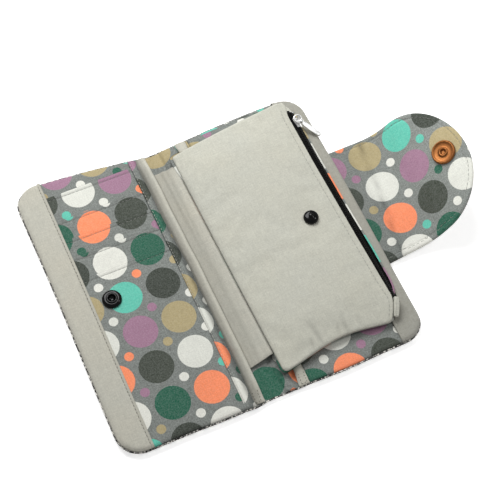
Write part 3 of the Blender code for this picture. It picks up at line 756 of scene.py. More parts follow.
def lathe(name, profile, where, mat, turn=None, steps=72, r=0.25, scallop=None):
    """A turned piece; the profile runs from the axis on top, round, to the
    axis below."""
    prof = eased(profile, r)
    verts, faces = [], []
    ring = []
    for i, (rad, z) in enumerate(prof):
        if rad < 1e-6:
            ring.append([len(verts)])
            verts.append((0, 0, z))
            continue
        row = []
        for k in range(steps):
            a = 2 * math.pi * k / steps
            zz = z if scallop is None else z + scallop(rad, a)
            row.append(len(verts))
            verts.append((rad * math.cos(a), rad * math.sin(a), zz))
        ring.append(row)
    for a, b in zip(ring, ring[1:]):
        for k in range(steps):
            k2 = (k + 1) % steps
            if len(a) == 1:
                faces.append([a[0], b[k], b[k2]])
            elif len(b) == 1:
                faces.append([a[k], b[0], a[k2]])
            else:
                faces.append([a[k], b[k], b[k2], a[k2]])
    v = np.array(verts)
    flat = v.copy()
    if turn is not None:
        v = v @ np.array(turn).T
    return put(name, v + np.array(where), faces, mat, flat, sharp=60)


def strip(name, section, ys, mat, flat=None, phase=(0, 0, 0), sharp=50, place=None):
    """A closed section of (x, z) points, carried along Y."""
    sec = np.array(section, float)
    n = len(sec)
    verts, fl = [], []
    arc = np.concatenate([[0], np.cumsum(np.linalg.norm(np.diff(sec, axis=0), axis=1))])
    for y in ys:
        for k, (x, z) in enumerate(sec):
            p = (x, y, z) if place is None else place(x, y, z)
            verts.append(p)
            fl.append((arc[k], y, 0))
    faces = []
    for i in range(len(ys) - 1):
        for k in range(n):
            a, b = i * n + k, i * n + (k + 1) % n
            faces.append([a, b, b + n, a + n])
    faces.append([k for k in range(n)][::-1])
    faces.append([(len(ys) - 1) * n + k for k in range(n)])
    o = put(name, verts, faces, mat, np.array(fl), phase, sharp)
    outward(o)
    return o


def outward(o):
    import bmesh
    bm = bmesh.new()
    bm.from_mesh(o.data)
    bmesh.ops.recalc_face_normals(bm, faces=bm.faces)
    bm.to_mesh(o.data)
    bm.free()


def band_section(centre, thick):
    """A closed outline round a centre line of (x, z) points."""
    c = np.array(centre, float)
    t = np.gradient(c, axis=0)
    t /= np.linalg.norm(t, axis=1)[:, None]
    n = np.stack([-t[:, 1], t[:, 0]], 1)
    a, b = c + n * thick / 2, c - n * thick / 2
    e0, e1 = c[0] - t[0] * thick * 0.45, c[-1] + t[-1] * thick * 0.45
    return np.concatenate([[e0], a, [e1], b[::-1]])


def settle(name, box, pace, place, pin, pressure=3.0, grow=0.02, frames=20, cap=2.0, bend=0.4, seed=0):
    """Lets a stitched-down panel swell and pucker as cloth, and gives back how
    far it moved as a function of the panel's rectangle. place maps the
    rectangle to its seat, pin is 1 where the cloth is sewn down."""
    x0, x1, y0, y1 = box
    nx, ny = int((x1 - x0) / pace) + 1, int((y1 - y0) / pace) + 1
    gx, gy = np.meshgrid(np.linspace(x0, x1, nx), np.linspace(y0, y1, ny), indexing="ij")
    start = place(gx, gy)
    start = start + np.stack([0 * gx, 0 * gx, 0.12 * wave(gx / (3.1 * pace), gy / (4.3 * pace), 300 + seed)], -1)
    me = bpy.data.meshes.new(name)
    idx = np.arange(nx * ny).reshape(nx, ny)
    f = np.stack([idx[:-1, :-1], idx[1:, :-1], idx[1:, 1:], idx[:-1, 1:]], -1).reshape(-1, 4)
    me.from_pydata((start.reshape(-1, 3) * MM).tolist(), [], f.tolist())
    o = bpy.data.objects.new(name, me)
    COLLECTION.objects.link(o)
    group = o.vertex_groups.new(name="sewn")
    w = np.clip(pin(gx, gy), 0, 1).ravel()
    for i in np.nonzero(w > 0.01)[0]:
        group.add([int(i)], float(w[i]), "REPLACE")
    m = o.modifiers.new("cloth", "CLOTH")
    c = m.settings
    c.quality = 6
    c.mass = 0.15
    c.air_damping = 4.0
    c.tension_stiffness = c.compression_stiffness = 25.0
    c.shear_stiffness = 8.0
    c.bending_stiffness = bend
    c.vertex_group_mass = "sewn"
    c.shrink_min = c.shrink_max = -grow
    c.use_pressure = True
    c.uniform_pressure_force = pressure
    c.effector_weights.gravity = 0.0
    m.collision_settings.use_collision = False
    scene = bpy.context.scene
    for k in range(1, frames + 1):
        scene.frame_set(k)
    ev = o.evaluated_get(bpy.context.evaluated_depsgraph_get())
    out = np.empty(nx * ny * 3)
    ev.data.vertices.foreach_get("co", out)
    out = out.reshape(nx, ny, 3) / MM
    scene.frame_set(1)
    bpy.data.objects.remove(o)
    bpy.data.meshes.remove(me)
    d = out - place(gx, gy)
    d[~np.isfinite(d)] = 0
    size = np.linalg.norm(d, axis=-1, keepdims=True)
    d = d * np.where(size > cap, cap / np.maximum(size, 1e-9), 1)
    d = d * (1 - w.reshape(nx, ny))[..., None]
    print("SETTLED", name, "mean %.2f max %.2f" % (size.mean(), size.max()))

    def look(x, y):
        u = np.clip((x - x0) / (x1 - x0) * (nx - 1), 0, nx - 1.000001)
        v = np.clip((y - y0) / (y1 - y0) * (ny - 1), 0, ny - 1.000001)
        i, j = u.astype(int), v.astype(int)
        a, b = (u - i)[..., None], (v - j)[..., None]
        a, b = a * a * (3 - 2 * a), b * b * (3 - 2 * b)
        return (d[i, j] * (1 - a) + d[i + 1, j] * a) * (1 - b) + (d[i, j + 1] * (1 - a) + d[i + 1, j + 1] * a) * b

    return look


# ---------------------------------------------------------------------------
# outline of the pages
# ---------------------------------------------------------------------------
LEFT, RIGHT, BOTTOM, TOP = -105.5, 105.8, -100.5, 100.0
ROUND = 16.0
_x = np.arange(-125.0, 125.5, 1.0)
_t = np.interp(_x, (-125, -105.5, -86.5, -75, -50, -25, -10, 0, 13, 40, 70, 88, 105.8, 125),
               (106.4, 106.1, 106.1, 105.4, 103.1, 99.8, 97.3, 98.2, 99.2, 101.6, 103.2, 103.4, 103.4, 103.7))
_k = np.exp(-(np.arange(-12, 13) / 4.0) ** 2)
_t = np.convolve(np.pad(_t, 12, mode="edge"), _k / _k.sum(), mode="valid")


def page_top(x):
    return np.interp(x, _x, _t)


def page_bottom(x):
    x = np.asarray(x, float)
    return BOTTOM + 0.55 * np.sin(x / 15.0 + 0.8) * step(np.abs(x), 70, 40) + 0.5 * bell(x, -6, 7) - 0.5 * bell(x, -17, 5) + 1.2 * step(x, 30, 100)


def page(x, y):
    """From the plain rectangle to the page's real outline."""
    f = (y - BOTTOM) / (TOP - BOTTOM)
    sway = 0.35 * np.sin(y / 31.0 + 1.0) * step(np.abs(x), 60, 105)
    return x + sway, page_bottom(x) * (1 - f) + page_top(x) * f


FLAP_Y = 3.1


def flap_zone(y):
    """1 where the flap leaves the page's edge."""
    return step(np.abs(np.asarray(y) - FLAP_Y), 49.5, 45.5)


def rim_height(x, y):
    """How far the tweed is turned up round the pages."""
    x, y = np.asarray(x, float), np.asarray(y, float)
    h = 2.6 + 1.3 * step(np.abs(x), 13, 24) + 0.12 * wave(x / 9.0, y / 9.0, 3)
    low = np.maximum(step(y - page_top(x), -14, -3), step(x, 98, 103) * step(y, -92, -84))
    h = h * (1 - low) + np.minimum(h, 1.9 - 0.5 * step(x, 98, 103) * step(y, -92, -84)) * low
    return h * (1 - 0.25 * flap_zone(y) * step(x, 98, 104))


# ---------------------------------------------------------------------------
# tweed shell, one piece across both pages and the spine
# ---------------------------------------------------------------------------
CLOSURE = (-61.8, 3.5)


def make_shell():
    edge = [0.05, 0.15, 0.3, 0.48, 0.66, 0.8, 0.95, 1.15, 1.45, 2.0, 3.0]
    W, H = RIGHT - LEFT, TOP - BOTTOM
    P = sorted(set([0, W] + edge + [W - e for e in edge] + np.arange(5, W - 4, 3.2).round(3).tolist()
                   + (np.arange(-20, 20.1, 1.25) - LEFT).round(3).tolist()))
    Q = sorted(set([0, H] + edge + [H - e for e in edge] + np.arange(5, H - 4, 3.2).round(3).tolist()))
    cx, cy = CLOSURE[0] - LEFT, CLOSURE[1] - BOTTOM
    P = [p for p in P if abs(p - cx) > 10] + (cx + np.linspace(-9.9, 9.9, 19)).tolist()
    Q = [q for q in Q if abs(q - cy) > 10] + (cy + np.linspace(-9.9, 9.9, 19)).tolist()

    def thin(v):
        out = []
        for a in sorted(v):
            if not out or a - out[-1] > 0.04:
                out.append(a)
        return np.array(out)

    P, Q = np.meshgrid(thin(P), thin(Q), indexing="ij")
    d = np.minimum(np.minimum(P, W - P), np.minimum(Q, H - Q))
    p, q = corner(P, Q, ROUND)
    a, b = corner(p, H - q, ROUND)
    p, q = a, H - b
    a, b = corner(W - p, q, ROUND)
    p, q = W - a, b
    a, b = corner(W - p, H - q, ROUND)
    p, q = W - a, H - b
    x, y = page(LEFT + p, BOTTOM + q)
    h = rim_height(x, y)
    zb = h * (1 - rim(d, 1.5))
    u = np.interp(d, [0, 0.15, 0.4, 0.66, 0.8, 1.0, 1.3], [0, 0.75, 1.0, 0.72, 0.0, -6, -9])
    zt = np.where(d < 0.8, h + 0.3 * u, np.interp(d, [0.8, 1.15, 1.45], [1, 0.1, 0]) * (h - 1.25) + 1.25)
    # dimple for the closing stud
    r = np.hypot(x - CLOSURE[0], y - CLOSURE[1])
    up = step(r, 8.6, 6.6)
    zb = zb + 2.13 * up
    zt = np.maximum(zt + 1.08 * up, zb + 0.22)
    top, bot = np.stack([x, y, zt], -1), np.stack([x, y, zb], -1)
    return closed_sheet("tweed_shell", top, bot, TWEED)


shell = make_shell()
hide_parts("shell_front", "shell_back")
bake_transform(shell)


# ---------------------------------------------------------------------------
# page linings, bands, card tiers
# ---------------------------------------------------------------------------
def lip(drop=0.25):
    return lambda x, y: rim_height(x, y) - drop


def page_piece(name, box, mat, top, bottom, **kw):
    return plate(name, box, mat, top, bottom, warp=page, **kw)


def soft(x, y, amount, size, seed):
    return amount * (wave(x / size, y / size, seed) + 0.5 * wave(x / size * 2.1, y / size * 2.1, seed + 9))


IN = 0.75                    # how far the lining sits inside the tweed's rim
lining_front = page_piece(
    "lining_front_cloth", (LEFT + IN, -18.4, BOTTOM + IN, TOP - IN), PRINT,
    lambda x, y: 4.0 + soft(x, y, 0.12, 14, 1), lambda x, y: 2.95 + 0 * x,
    sides={"l": (lip(), 1.2, 1.2), "b": (lip(), 1.2, 1.2), "t": (lip(0.1), 1.7, 1.2), "r": (None, 0.5, 0.5)},
    radii=(ROUND - IN, 0, 0, ROUND - IN), pace=(5, 5), phase=(7.0, 12.0, 0))
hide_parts("lining_front")
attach(lining_front, "front_page")

BAND_IN = -85.2              # inner edge of the front band
BAND_STITCH = -87.1


def band_front_top(x, y):
    z = 6.25 + 0.55 * np.sin(np.clip((x - LEFT) / 20.0, 0, 1) * math.pi * 0.62) ** 2
    z = z + soft(x, y, 0.22, 16, 5) + 0.10 * wave(x / 3.0, y / 5.0, 11)
    z = z + 0.14 * wave(y / 2.6, 0.5, 12) * bell(x, BAND_STITCH, 1.2)
    # pressed flatter between the stitches and the folded edge
    z = z - 0.42 * step(x, BAND_STITCH + 0.2, BAND_IN) + 0.10 * bell(x, BAND_STITCH - 1.4, 0.8)
    return z - 0.46 * bell(x, BAND_STITCH, 0.5)


def band_front_bottom(x, y):
    return np.where(x > -88.4, 6.08, 4.15) - 1.93 * step(x, -86.9, -88.4) * (x > -88.4)


# painted shade along the stitch line, and over the strip between it and the band's inner edge
band_front = page_piece(
    "band_front_cloth", (LEFT + IN, BAND_IN, BOTTOM + IN, TOP - IN), BEIGE,
    band_front_top, lambda x, y: 4.15 + 1.95 * step(x, -88.6, -86.9),
    sides={"l": (lip(), 3.0, 0.6), "b": (lip(), 2.4, 0.6), "t": (lip(), 2.4, 0.6), "r": (None, 0.42, 0.42)},
    radii=(ROUND - IN, 0, 0, ROUND - IN), pace=(1.6, 2.6),
    extra=((BAND_STITCH - 0.9, BAND_STITCH - 0.45, BAND_STITCH, BAND_STITCH + 0.45, BAND_STITCH + 0.9, -88.6, -86.2), ()), phase=(0, 0, 40),
    groove=lambda x, y: 0.75 * bell(x, BAND_STITCH, 0.42) + 0.22 * step(x, BAND_STITCH, BAND_STITCH + 0.6))
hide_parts("band_front")
on_band = surface(band_front)
s = stitches("band_front_stitches", [np.stack(page(np.full(60, BAND_STITCH), np.linspace(BOTTOM + 2.5, TOP - 2.5, 60)), 1)], on_band, THREAD_DARK, 1.7, 0.9, 0.17, seed=1)
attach(s, "front_page")
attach(band_front, "front_page")

# card tiers, shingled down the page
TIERS = (92.0, 72.1, 56.6, 42.6)
SLIP = 25.0
TIER_X = (-87.0, -22.2)
PHASES = ((24.3, 5.0, 0), (23.4, 6.6, 3), (24.9, 8.3, 6), (23.8, 9.9, 9))
edges = TIERS + (SLIP,)
tier_pieces = []


def to_page(y):
    """The rectangle's Y that the page outline carries to y in mid panel."""
    lo, hi = page_bottom(-55.0), page_top(-55.0)
    return BOTTOM + (y - lo) / (hi - lo) * (TOP - BOTTOM)


def tier_warp(x, y):
    # tiers hang straight across the panel
    return x, y


for i, upper in enumerate(TIERS):
    lower = edges[i + 1] - 4.0
    stitch_y = upper - 2.9

    def top(x, y, upper=upper, lower=lower, i=i, stitch_y=stitch_y):
        z = 4.78 + 0.80 * np.clip((y - lower) / (upper - lower), 0, 1)
        z = z + soft(x, y, 0.10, 11, 20 + i) + 0.16 * bell(y, upper - 1.1, 1.0)
        return z - 0.26 * bell(y, stitch_y, 0.45)

    def under(x, y, top=top, upper=upper, lower=lower):
        return 4.16 + 0.80 * np.clip((y - lower) / (upper - lower), 0, 1)

    def sag(x, y, i=i):
        return x, y + 0.35 * wave(x / 19.0, 0.3, 40 + i) * step(y, 20, 40)

    # painted shade along each tier's stitch line and its top folded edge
    t = plate("card_tier_%d_cloth" % (i + 1), (TIER_X[0], TIER_X[1], lower, upper), PRINT, top, under,
              sides={"l": (None, 0.3, 0.3), "r": (None, 0.3, 0.3), "b": (None, 0.3, 0.3), "t": (None, 0.42, 0.42)},
              pace=(3.2, 3.0), extra=((), (stitch_y - 0.9, stitch_y - 0.45, stitch_y, stitch_y + 0.45, upper - 0.5, upper - 0.9, upper - 1.6)), warp=sag, phase=PHASES[i],
              worn="t", groove=lambda x, y, stitch_y=stitch_y: 0.8 * bell(y, stitch_y, 0.36))
    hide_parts("card_tier_%d" % (i + 1))
    tier_pieces.append(t)
    s = stitches("card_tier_%d_stitches" % (i + 1), [np.stack([np.linspace(TIER_X[0] + 1.8, TIER_X[1] - 1.5, 40), np.full(40, stitch_y)], 1)],
                 surface(t), THREAD_GREY, 2.0, 0.8, 0.13, seed=10 + i)
    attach(s, "front_page")
    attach(t, "front_page")

SOCKET = (-72.6, 3.5)


def slip_top(x, y):
    z = 5.78 + soft(x, y, 0.16, 15, 31) + 0.05 * step(y, 20, 25)
    r = np.hypot(x - SOCKET[0], y - SOCKET[1])
    z = z * (1 - step(r, 11, 7)) + 5.95 * step(r, 11, 7)
    return z + 0.14 * bell(y, SLIP - 1.1, 1.0) - 0.26 * bell(y, SLIP - 2.9, 0.45)


def slip_warp(x, y):
    f = np.clip((y + 99.7) / (SLIP + 99.7), 0, 1)
    return x, (page_bottom(x) + IN) * (1 - f) + (SLIP + 0.35 * wave(x / 19.0, 0.3, 47)) * f


# painted shade along the stitch line and the top and bottom edges
slip = plate("slip_pocket_cloth", (TIER_X[0], TIER_X[1], -99.7, SLIP), PRINT, slip_top, lambda x, y: 5.05 + 0 * x,
             sides={"l": (None, 0.3, 0.3), "r": (None, 0.3, 0.3), "b": (lambda x, y: rim_height(x, y) - 0.2, 2.0, 0.9), "t": (None, 0.42, 0.42)},
             pace=(3.0, 3.0), extra=(np.linspace(-82, -63, 16).tolist(), (SLIP - 3.8, SLIP - 3.35, SLIP - 2.9, SLIP - 2.45, SLIP - 1.6, SLIP - 0.9)), warp=slip_warp, phase=(24.5, 11.6, 12),
             worn="bt", groove=lambda x, y: 0.8 * bell(y, SLIP - 2.9, 0.36))
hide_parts("slip_pocket_front", "slip_pocket_lining")
s = stitches("slip_pocket_stitches", [np.stack([np.linspace(TIER_X[0] + 1.8, TIER_X[1] - 1.5, 40), np.full(40, SLIP - 2.9)], 1)], surface(slip), THREAD_GREY, 2.2, 0.8, 0.12, seed=15)
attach(s, "front_page")
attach(slip, "front_page")

# print strip that binds the right end of the tiers, beside the ridge
TRIM = (-24.4, -16.9)


def trim_top(x, y):
    fall = trim_fall(y)
    z = 6.30 - 0.10 * step(x, -23, -21.5) - 2.25 * step(x, fall - 2.6, fall + 1.7)
    z = z - 1.5 * step(y - page_top(x), -11, -2) * step(x, -19, -22) - 1.0 * step(y - page_bottom(x), 7, 1) * step(x, -19, -22)
    return z + soft(x, y, 0.16, 9, 51) - 0.26 * bell(x, -23.5, 0.35)


def trim_fall(y):
    """Where the strip turns down beside the ridge."""
    return -18.7 - 1.1 * step(y, 10, 45)


# painted shade along the stitch line, deepening towards the ridge where the strip turns down into the valley
trim = page_piece("panel_trim_cloth", (TRIM[0], TRIM[1], BOTTOM + IN, TOP - IN), PRINT, trim_top,
                  lambda x, y: trim_top(x, y) - 0.62,
                  sides={"l": (None, 0.34, 0.34), "r": (None, 0.3, 0.3), "b": (lip(0.1), 2.2, 1.6), "t": (lip(0.1), 2.2, 1.6)},
                  pace=(0.7, 3.0), extra=((-23.9, -23.5, -23.1), ()), phase=(16.2, -6.0, 15), worn="lbt",
                  groove=lambda x, y: 0.5 * bell(x, -23.5, 0.35) + 1.0 * step(x, -21.9, -18.4))
s = stitches("panel_trim_stitches", [np.stack(page(np.full(60, -23.5), np.linspace(BOTTOM + 2.5, TOP - 2.5, 60)), 1)], surface(trim), THREAD_PALE, 1.9, 0.9, 0.14, seed=16)
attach(s, "front_page")
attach(trim, "front_page")

# back page
lining_back = page_piece(
    "lining_back_cloth", (18.4, RIGHT - IN, BOTTOM + IN, TOP - IN), PRINT,
    lambda x, y: 4.0 + soft(x, y, 0.12, 14, 2), lambda x, y: 2.95 + 0 * x,
    sides={"r": (lip(), 1.2, 1.2), "b": (lip(), 1.2, 1.2), "t": (lip(0.1), 1.7, 1.2), "l": (None, 0.5, 0.5)},
    radii=(0, ROUND - IN, ROUND - IN, 0), pace=(5, 5), phase=(2.0, 3.0, 18))
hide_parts("lining_back")
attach(lining_back, "back_page")

BAND_BACK_IN = 86.2


def pocket_warp(x, y):
    f = np.clip((y + 99.7) / 196.7, 0, 1)
    return x, (page_bottom(x) + IN) * (1 - f) + (page_top(x) - 3.0 - 0.012 * (x - 20)) * f


pocket_back = plate("pocket_back_cloth", (19.8, 87.6, -99.7, 97.0), PRINT,
                    lambda x, y: 5.35 + soft(x, y, 0.14, 13, 61), lambda x, y: 4.2 + 0 * x,
                    sides={"l": (3.4, 1.6, 0.6), "r": (None, 0.4, 0.4), "b": (lambda x, y: rim_height(x, y) - 0.2, 2.0, 0.9), "t": (None, 0.5, 0.5)},
                    pace=(3.6, 3.6), warp=pocket_warp, phase=(-8.0, 9.5, 21))
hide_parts("pocket_back")
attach(pocket_back, "back_page")


def band_back_top(x, y):
    z = 6.0 + 0.35 * np.sin(np.clip((RIGHT - x) / 20.0, 0, 1) * math.pi * 0.62) ** 2
    z = z + soft(x, y, 0.20, 16, 65) + 0.08 * wave(x / 3.0, y / 5.0, 66)
    return z - 0.28 * bell(x, BAND_BACK_IN + 1.9, 0.5)


band_back = page_piece(
    "band_back_cloth", (BAND_BACK_IN, RIGHT - 0.25, BOTTOM + IN, TOP - IN), BEIGE_BACK_SHADED,
    band_back_top, lambda x, y: 4.15 + 1.35 * step(x, 89.6, 87.9),
    sides={"r": (lambda x, y: rim_height(x, y) - 0.25 + 3.1 * flap_zone(y) * step(x, 98, 104), 2.8, 0.5), "b": (lip(), 2.4, 0.6), "t": (lip(), 2.4, 0.6), "l": (None, 0.3, 0.3)},
    radii=(0, ROUND - IN, ROUND - IN, 0), pace=(1.6, 2.6),
    extra=((BAND_BACK_IN + 1.3, BAND_BACK_IN + 1.9, BAND_BACK_IN + 2.5), ()), phase=(13, 0, 44))
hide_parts("band_back")
s = stitches("band_back_stitches", [np.stack(page(np.full(60, BAND_BACK_IN + 1.9), np.linspace(BOTTOM + 2.5, TOP - 2.5, 60)), 1)], surface(band_back), THREAD_GREY, 1.6, 1.15, 0.12, seed=18)
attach(s, "back_page")
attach(band_back, "back_page")


# ---------------------------------------------------------------------------
# spine: lining, padded ridges and the wing
# ---------------------------------------------------------------------------
def spine_top(x, y):
    ends = step(np.abs(y), 70, 90)
    # a pleat that stands up to the right of a crease, more so past the wing
    crease = 2.6 - 0.055 * (y + 72) * step(y, 0, -60) - 3.6 * step(y, 20, 75)
    z = 2.35 + 1.75 * step(x, crease - 0.5, crease + 0.55) * step(x, 12.5, 8.0) * (0.3 + 0.7 * ends)
    z = z + 0.45 * bell(x + 0.01 * y, -5.6, 1.3) * ends + 0.3 * bell(x, 8.6, 1.6) * ends
    fine = wave(x / 1.9, y / 24.0, 72) * step(x, crease, crease - 2.0)
    return z + soft(x, y, 0.20, 7, 71) + (0.15 + 0.45 * ends * step(y, 60, 80) + 0.2 * ends) * fine


spine = page_piece("spine_lining_cloth", (-18.9, 19.2, BOTTOM + IN, TOP - IN), PRINT, spine_top,
                   lambda x, y: spine_top(x, y) - 0.7,
                   sides={"b": (lip(0.2), 1.3, 1.0), "t": (lip(0.2), 1.3, 1.0), "l": (None, 0.3, 0.3), "r": (None, 0.3, 0.3)},
                   pace=(0.8, 3.0), phase=(18.0, -4.5, 24))
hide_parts("spine_lining_front", "spine_lining_back")
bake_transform(spine)


def closed_curve(pts, n):
    """A smooth closed outline through (x, z) points, as n even points."""
    p = np.array(pts, float)
    k = len(p)
    t = np.arange(k * 12) / 12.0
    i = t.astype(int)
    f = (t - i)[:, None]
    a, b, c, d = p[(i - 1) % k], p[i % k], p[(i + 1) % k], p[(i + 2) % k]
    q = 0.5 * ((2 * b) + (c - a) * f + (2 * a - 5 * b + 4 * c - d) * f ** 2 + (3 * b - a - 3 * c + d) * f ** 3)
    q = np.concatenate([q, q[:1]])
    s = np.concatenate([[0], np.cumsum(np.linalg.norm(np.diff(q, axis=0), axis=1))])
    e = np.linspace(0, s[-1], n + 1)[:-1]
    return np.stack([np.interp(e, s, q[:, 0]), np.interp(e, s, q[:, 1])], 1), s[-1]


def ridge(name, section, flat_section, centre, y0, y1, seed, node, reach=13.0, wide=0.0, painted_shade=0.0):
    """A padded fold of cloth along the spine, pressed flat where the edge
    seams catch it; centre(y) gives its line."""
    m = 40
    full, girth = closed_curve(section, m)
    pressed, _ = closed_curve(flat_section, m)
    rows = np.concatenate([[0, 0.25, 0.7, 1.5, 2.8], np.linspace(4.5, (y1 - y0) - 4.5, 110), (y1 - y0) - np.array([2.8, 1.5, 0.7, 0.25, 0])])
    verts, flat, worn = [], [], []
    for t in rows:
        y = y0 + t
        e = min(t, (y1 - y0) - t)
        press = float(step(e, reach, 0))
        tip = float(rim(e, 0.7))
        c = full * (1 - press) + pressed * press
        mid = c.mean(0)
        cx = centre(y) + 0.28 * float(wave(y / 26.0, 0.1, seed + 3))
        swell = 1 + 0.05 * float(wave(y / 8.0, 0.7, seed + 1))
        for k in range(m):
            d = c[k] - mid
            th = 2 * math.pi * k / m
            pucker = 1 + 0.05 * float(wave(y / 2.1, th * 1.3, seed + 4)) * (0.3 + 0.9 * press)
            x, z = mid + d * np.array([1.0, swell * pucker]) * np.array([0.75 + 0.25 * tip, tip])
            x = x * (1 + wide * float(step(y, 8, 48))) if x < 0 else x
            verts.append((cx + x, y, max(z, 2.5)))
            flat.append((k / m * girth, y, 0))
            # painted shade down the fold's left slope, deepest at its foot
            worn.append(painted_shade * (0.52 * float(step(x, 0.1, -3.0)) + 0.48 * float(step(x, -3.4, -5.2))))
    faces = []
    for i in range(len(rows) - 1):
        for k in range(m):
            p, q = i * m + k, i * m + (k + 1) % m
            faces.append([p, q, q + m, p + m])
    faces.append(list(range(m))[::-1])
    faces.append([(len(rows) - 1) * m + k for k in range(m)])
    o = put(name, verts, faces, BEIGE_RIDGE_SHADED, np.array(flat), (0, 0, 50 + seed), sharp=70, edge=worn)
    outward(o)
    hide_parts(node)
    return o


def front_line(y):
    """Where the front ridge's crest runs."""
    return -12.0 - 0.6 * step(y, 5, 25) - 0.5 * step(y, 25, 60) - 0.4 * step(y, 65, 92)


def back_line(y):
    return 15.7 - 1.2 * step(y, 0, 90) + 1.2 * step(y, -50, -90)


# a long round slope on the left, the crest, then a steep drop; painted shade darkens the left slope
ridge_front = ridge("ridge_front_roll",
                    [(-5.5, 3.2), (-5.2, 4.2), (-4.5, 5.2), (-3.5, 6.05), (-2.3, 6.75), (-0.9, 7.2), (0.2, 7.25), (0.95, 6.8), (1.2, 6.0), (1.2, 4.9), (0.9, 3.7), (-0.6, 3.1), (-2.8, 2.95), (-4.6, 2.95)],
                    [(-6.6, 3.3), (-5.6, 3.85), (-4.2, 4.2), (-2.6, 4.4), (-1.0, 4.5), (0.1, 4.45), (0.8, 4.1), (1.2, 3.6), (1.1, 3.2), (0.6, 2.95), (-0.8, 2.85), (-3.2, 2.8), (-5.6, 2.85)],
                    front_line, -99.5, 97.4, 81, "ridge_front", wide=0.2, painted_shade=1.0)
ridge_back = ridge("ridge_back_roll",
                   [(-3.0, 4.3), (-2.5, 5.4), (-1.3, 6.1), (0.2, 6.3), (1.6, 6.0), (2.7, 5.3), (3.2, 4.4), (2.8, 3.6), (1.4, 3.1), (0, 3.0), (-1.4, 3.1), (-2.6, 3.5)],
                   [(-4.0, 3.6), (-3.0, 4.25), (-1.4, 4.5), (0.2, 4.6), (1.8, 4.5), (3.4, 4.2), (4.1, 3.6), (3.5, 3.1), (1.6, 2.9), (0, 2.85), (-1.6, 2.9), (-3.3, 3.1)],
                   back_line, -99.4, 98.6, 91, "ridge_back")
for o, col in ((ridge_front, "front"), (ridge_back, "back")):
    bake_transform(o)

# the rows that catch each ridge's lower end
for o, line, offs, word in ((ridge_front, front_line, (-4.6, -1.2), "front"), (ridge_back, back_line, (-1.9, 1.7), "back")):
    tack = []
    for d in offs:
        yy = np.linspace(-98.6, -90.5, 24)
        tack.append(np.stack([[line(v) + d + 0.25 * math.sin(v * 1.7) for v in yy], yy], 1))
    yy = -98.4
    tack.append(np.array([(line(yy) + d, yy + 0.2 * math.sin(d * 2)) for d in np.linspace(offs[0] - 0.6, offs[1] + 0.8, 20)]))
    t = stitches("ridge_%s_stitches" % word, tack, surface(o), THREAD_DARK, 1.0, 1.0, 0.17, seed=19)
    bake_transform(t)


def pouch_left(y):
    d = 83.0 - np.asarray(y, float)
    return 4.05 + 0.0105 * d + 0.00004 * d * d


WING_Y = (-76.0, 81.0)
WING_X = (-12.4, -11.0, -9.4, -7.6, -5.4, -3.4, -1.6, 0.2, 1.6, 2.7, 3.6, 4.4, 9.0)
WING_Z = (4.5, 4.35, 4.2, 4.35, 4.7, 5.2, 5.95, 6.85, 7.35, 7.45, 7.3, 6.55, 6.15)


def wing_top(x, y):
    x, y = np.asarray(x, float), np.asarray(y, float)
    mid = step(x, -11.6, -9) * step(x, 5.5, 2.5)
    drift = 0.9 * wave(y / 40.0, 0.2, 101) + 0.8 * step(y, 10, -70) - 0.8 * step(y, 20, 70)
    beside = step(x, -3.0, 1.5)
    z = np.interp(x - drift * mid * (1 - beside) - (pouch_left(y) - 4.35) * beside, WING_X, WING_Z)
    # a second fold that only runs down the upper half
    up = step(y, -5, 50)
    z = z + 0.75 * bell(x, -5.2 - 0.02 * (y - 60), 1.15) * up * mid - 0.25 * bell(x, -3.2, 1.0) * up * mid
    z = z + 0.30 * bell(x - drift, -7.4, 1.3) * step(y, 30, -40) * mid
    return z + soft(x, y, 0.18, 10, 103) * mid + 0.14 * wave(x / 2.4, y / 21.0, 105) * mid


def wing_warp(x, y):
    f = (y - WING_Y[0]) / (WING_Y[1] - WING_Y[0])
    lo = WING_Y[0] + 0.14 * (x + 13)
    hi = WING_Y[1] - 0.05 * (x + 13) + 0.2 * wave(x / 4.0, 0.3, 104)
    return x, lo * (1 - f) + hi * f


# painted shade: the wing is darker over its left part beside the ridge, with a darker line just right of the ridge's
# crest
wing = plate("wing_cloth", (-12.4, 8.6, WING_Y[0], WING_Y[1]), BEIGE_SPINE_SHADED, wing_top, lambda x, y: wing_top(x, y) - 0.8,
             sides={"l": (None, 0.3, 0.3), "r": (None, 0.3, 0.3), "b": (None, 0.40, 0.40), "t": (None, 0.40, 0.40)},
             pace=(0.6, 2.6), warp=wing_warp, phase=(30, 0, 60), groove=lambda x, y: 0.42 * step(x, 0.5, -4.0) + 0.58 * bell(x, front_line(y) + 1.6, 0.8))
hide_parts("wing_left", "wing_right")
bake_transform(wing)


# ---------------------------------------------------------------------------
# zipped pouch
# ---------------------------------------------------------------------------
PX = (4.0, 91.2)
POUCH_LOW, POUCH_HIGH = (-88.7, -84.6), (86.2, 98.8)
STUD = (69.4, 3.5)


RIGHT_Y = np.arange(-100.0, 110.5, 1.0)
RIGHT_X = np.interp(RIGHT_Y, (-100, -90, -87, -85, -82, -77, -71.5, -69, -65, -55, -40, -20, 0, 20, 42, 84, 89, 93, 110),
                    (83.2, 83.4, 84.0, 85.0, 86.9, 89.7, 92.2, 92.6, 92.5, 92.2, 91.85, 91.35, 91.05, 90.75, 90.4, 90.35, 91.6, 92.4, 92.4))
_k = np.exp(-(np.arange(-5, 6) / 1.8) ** 2)
RIGHT_X = np.convolve(np.pad(RIGHT_X, 5, mode="edge"), _k / _k.sum(), mode="valid")


def pouch_right(y):
    return np.interp(y, RIGHT_Y, RIGHT_X)


def pouch_low(u):
    u = np.clip(u, 0, 1)
    return POUCH_LOW[0] * (1 - u) + POUCH_LOW[1] * u + 5.0 * np.sin(np.pi * u ** 1.12) ** 1.5


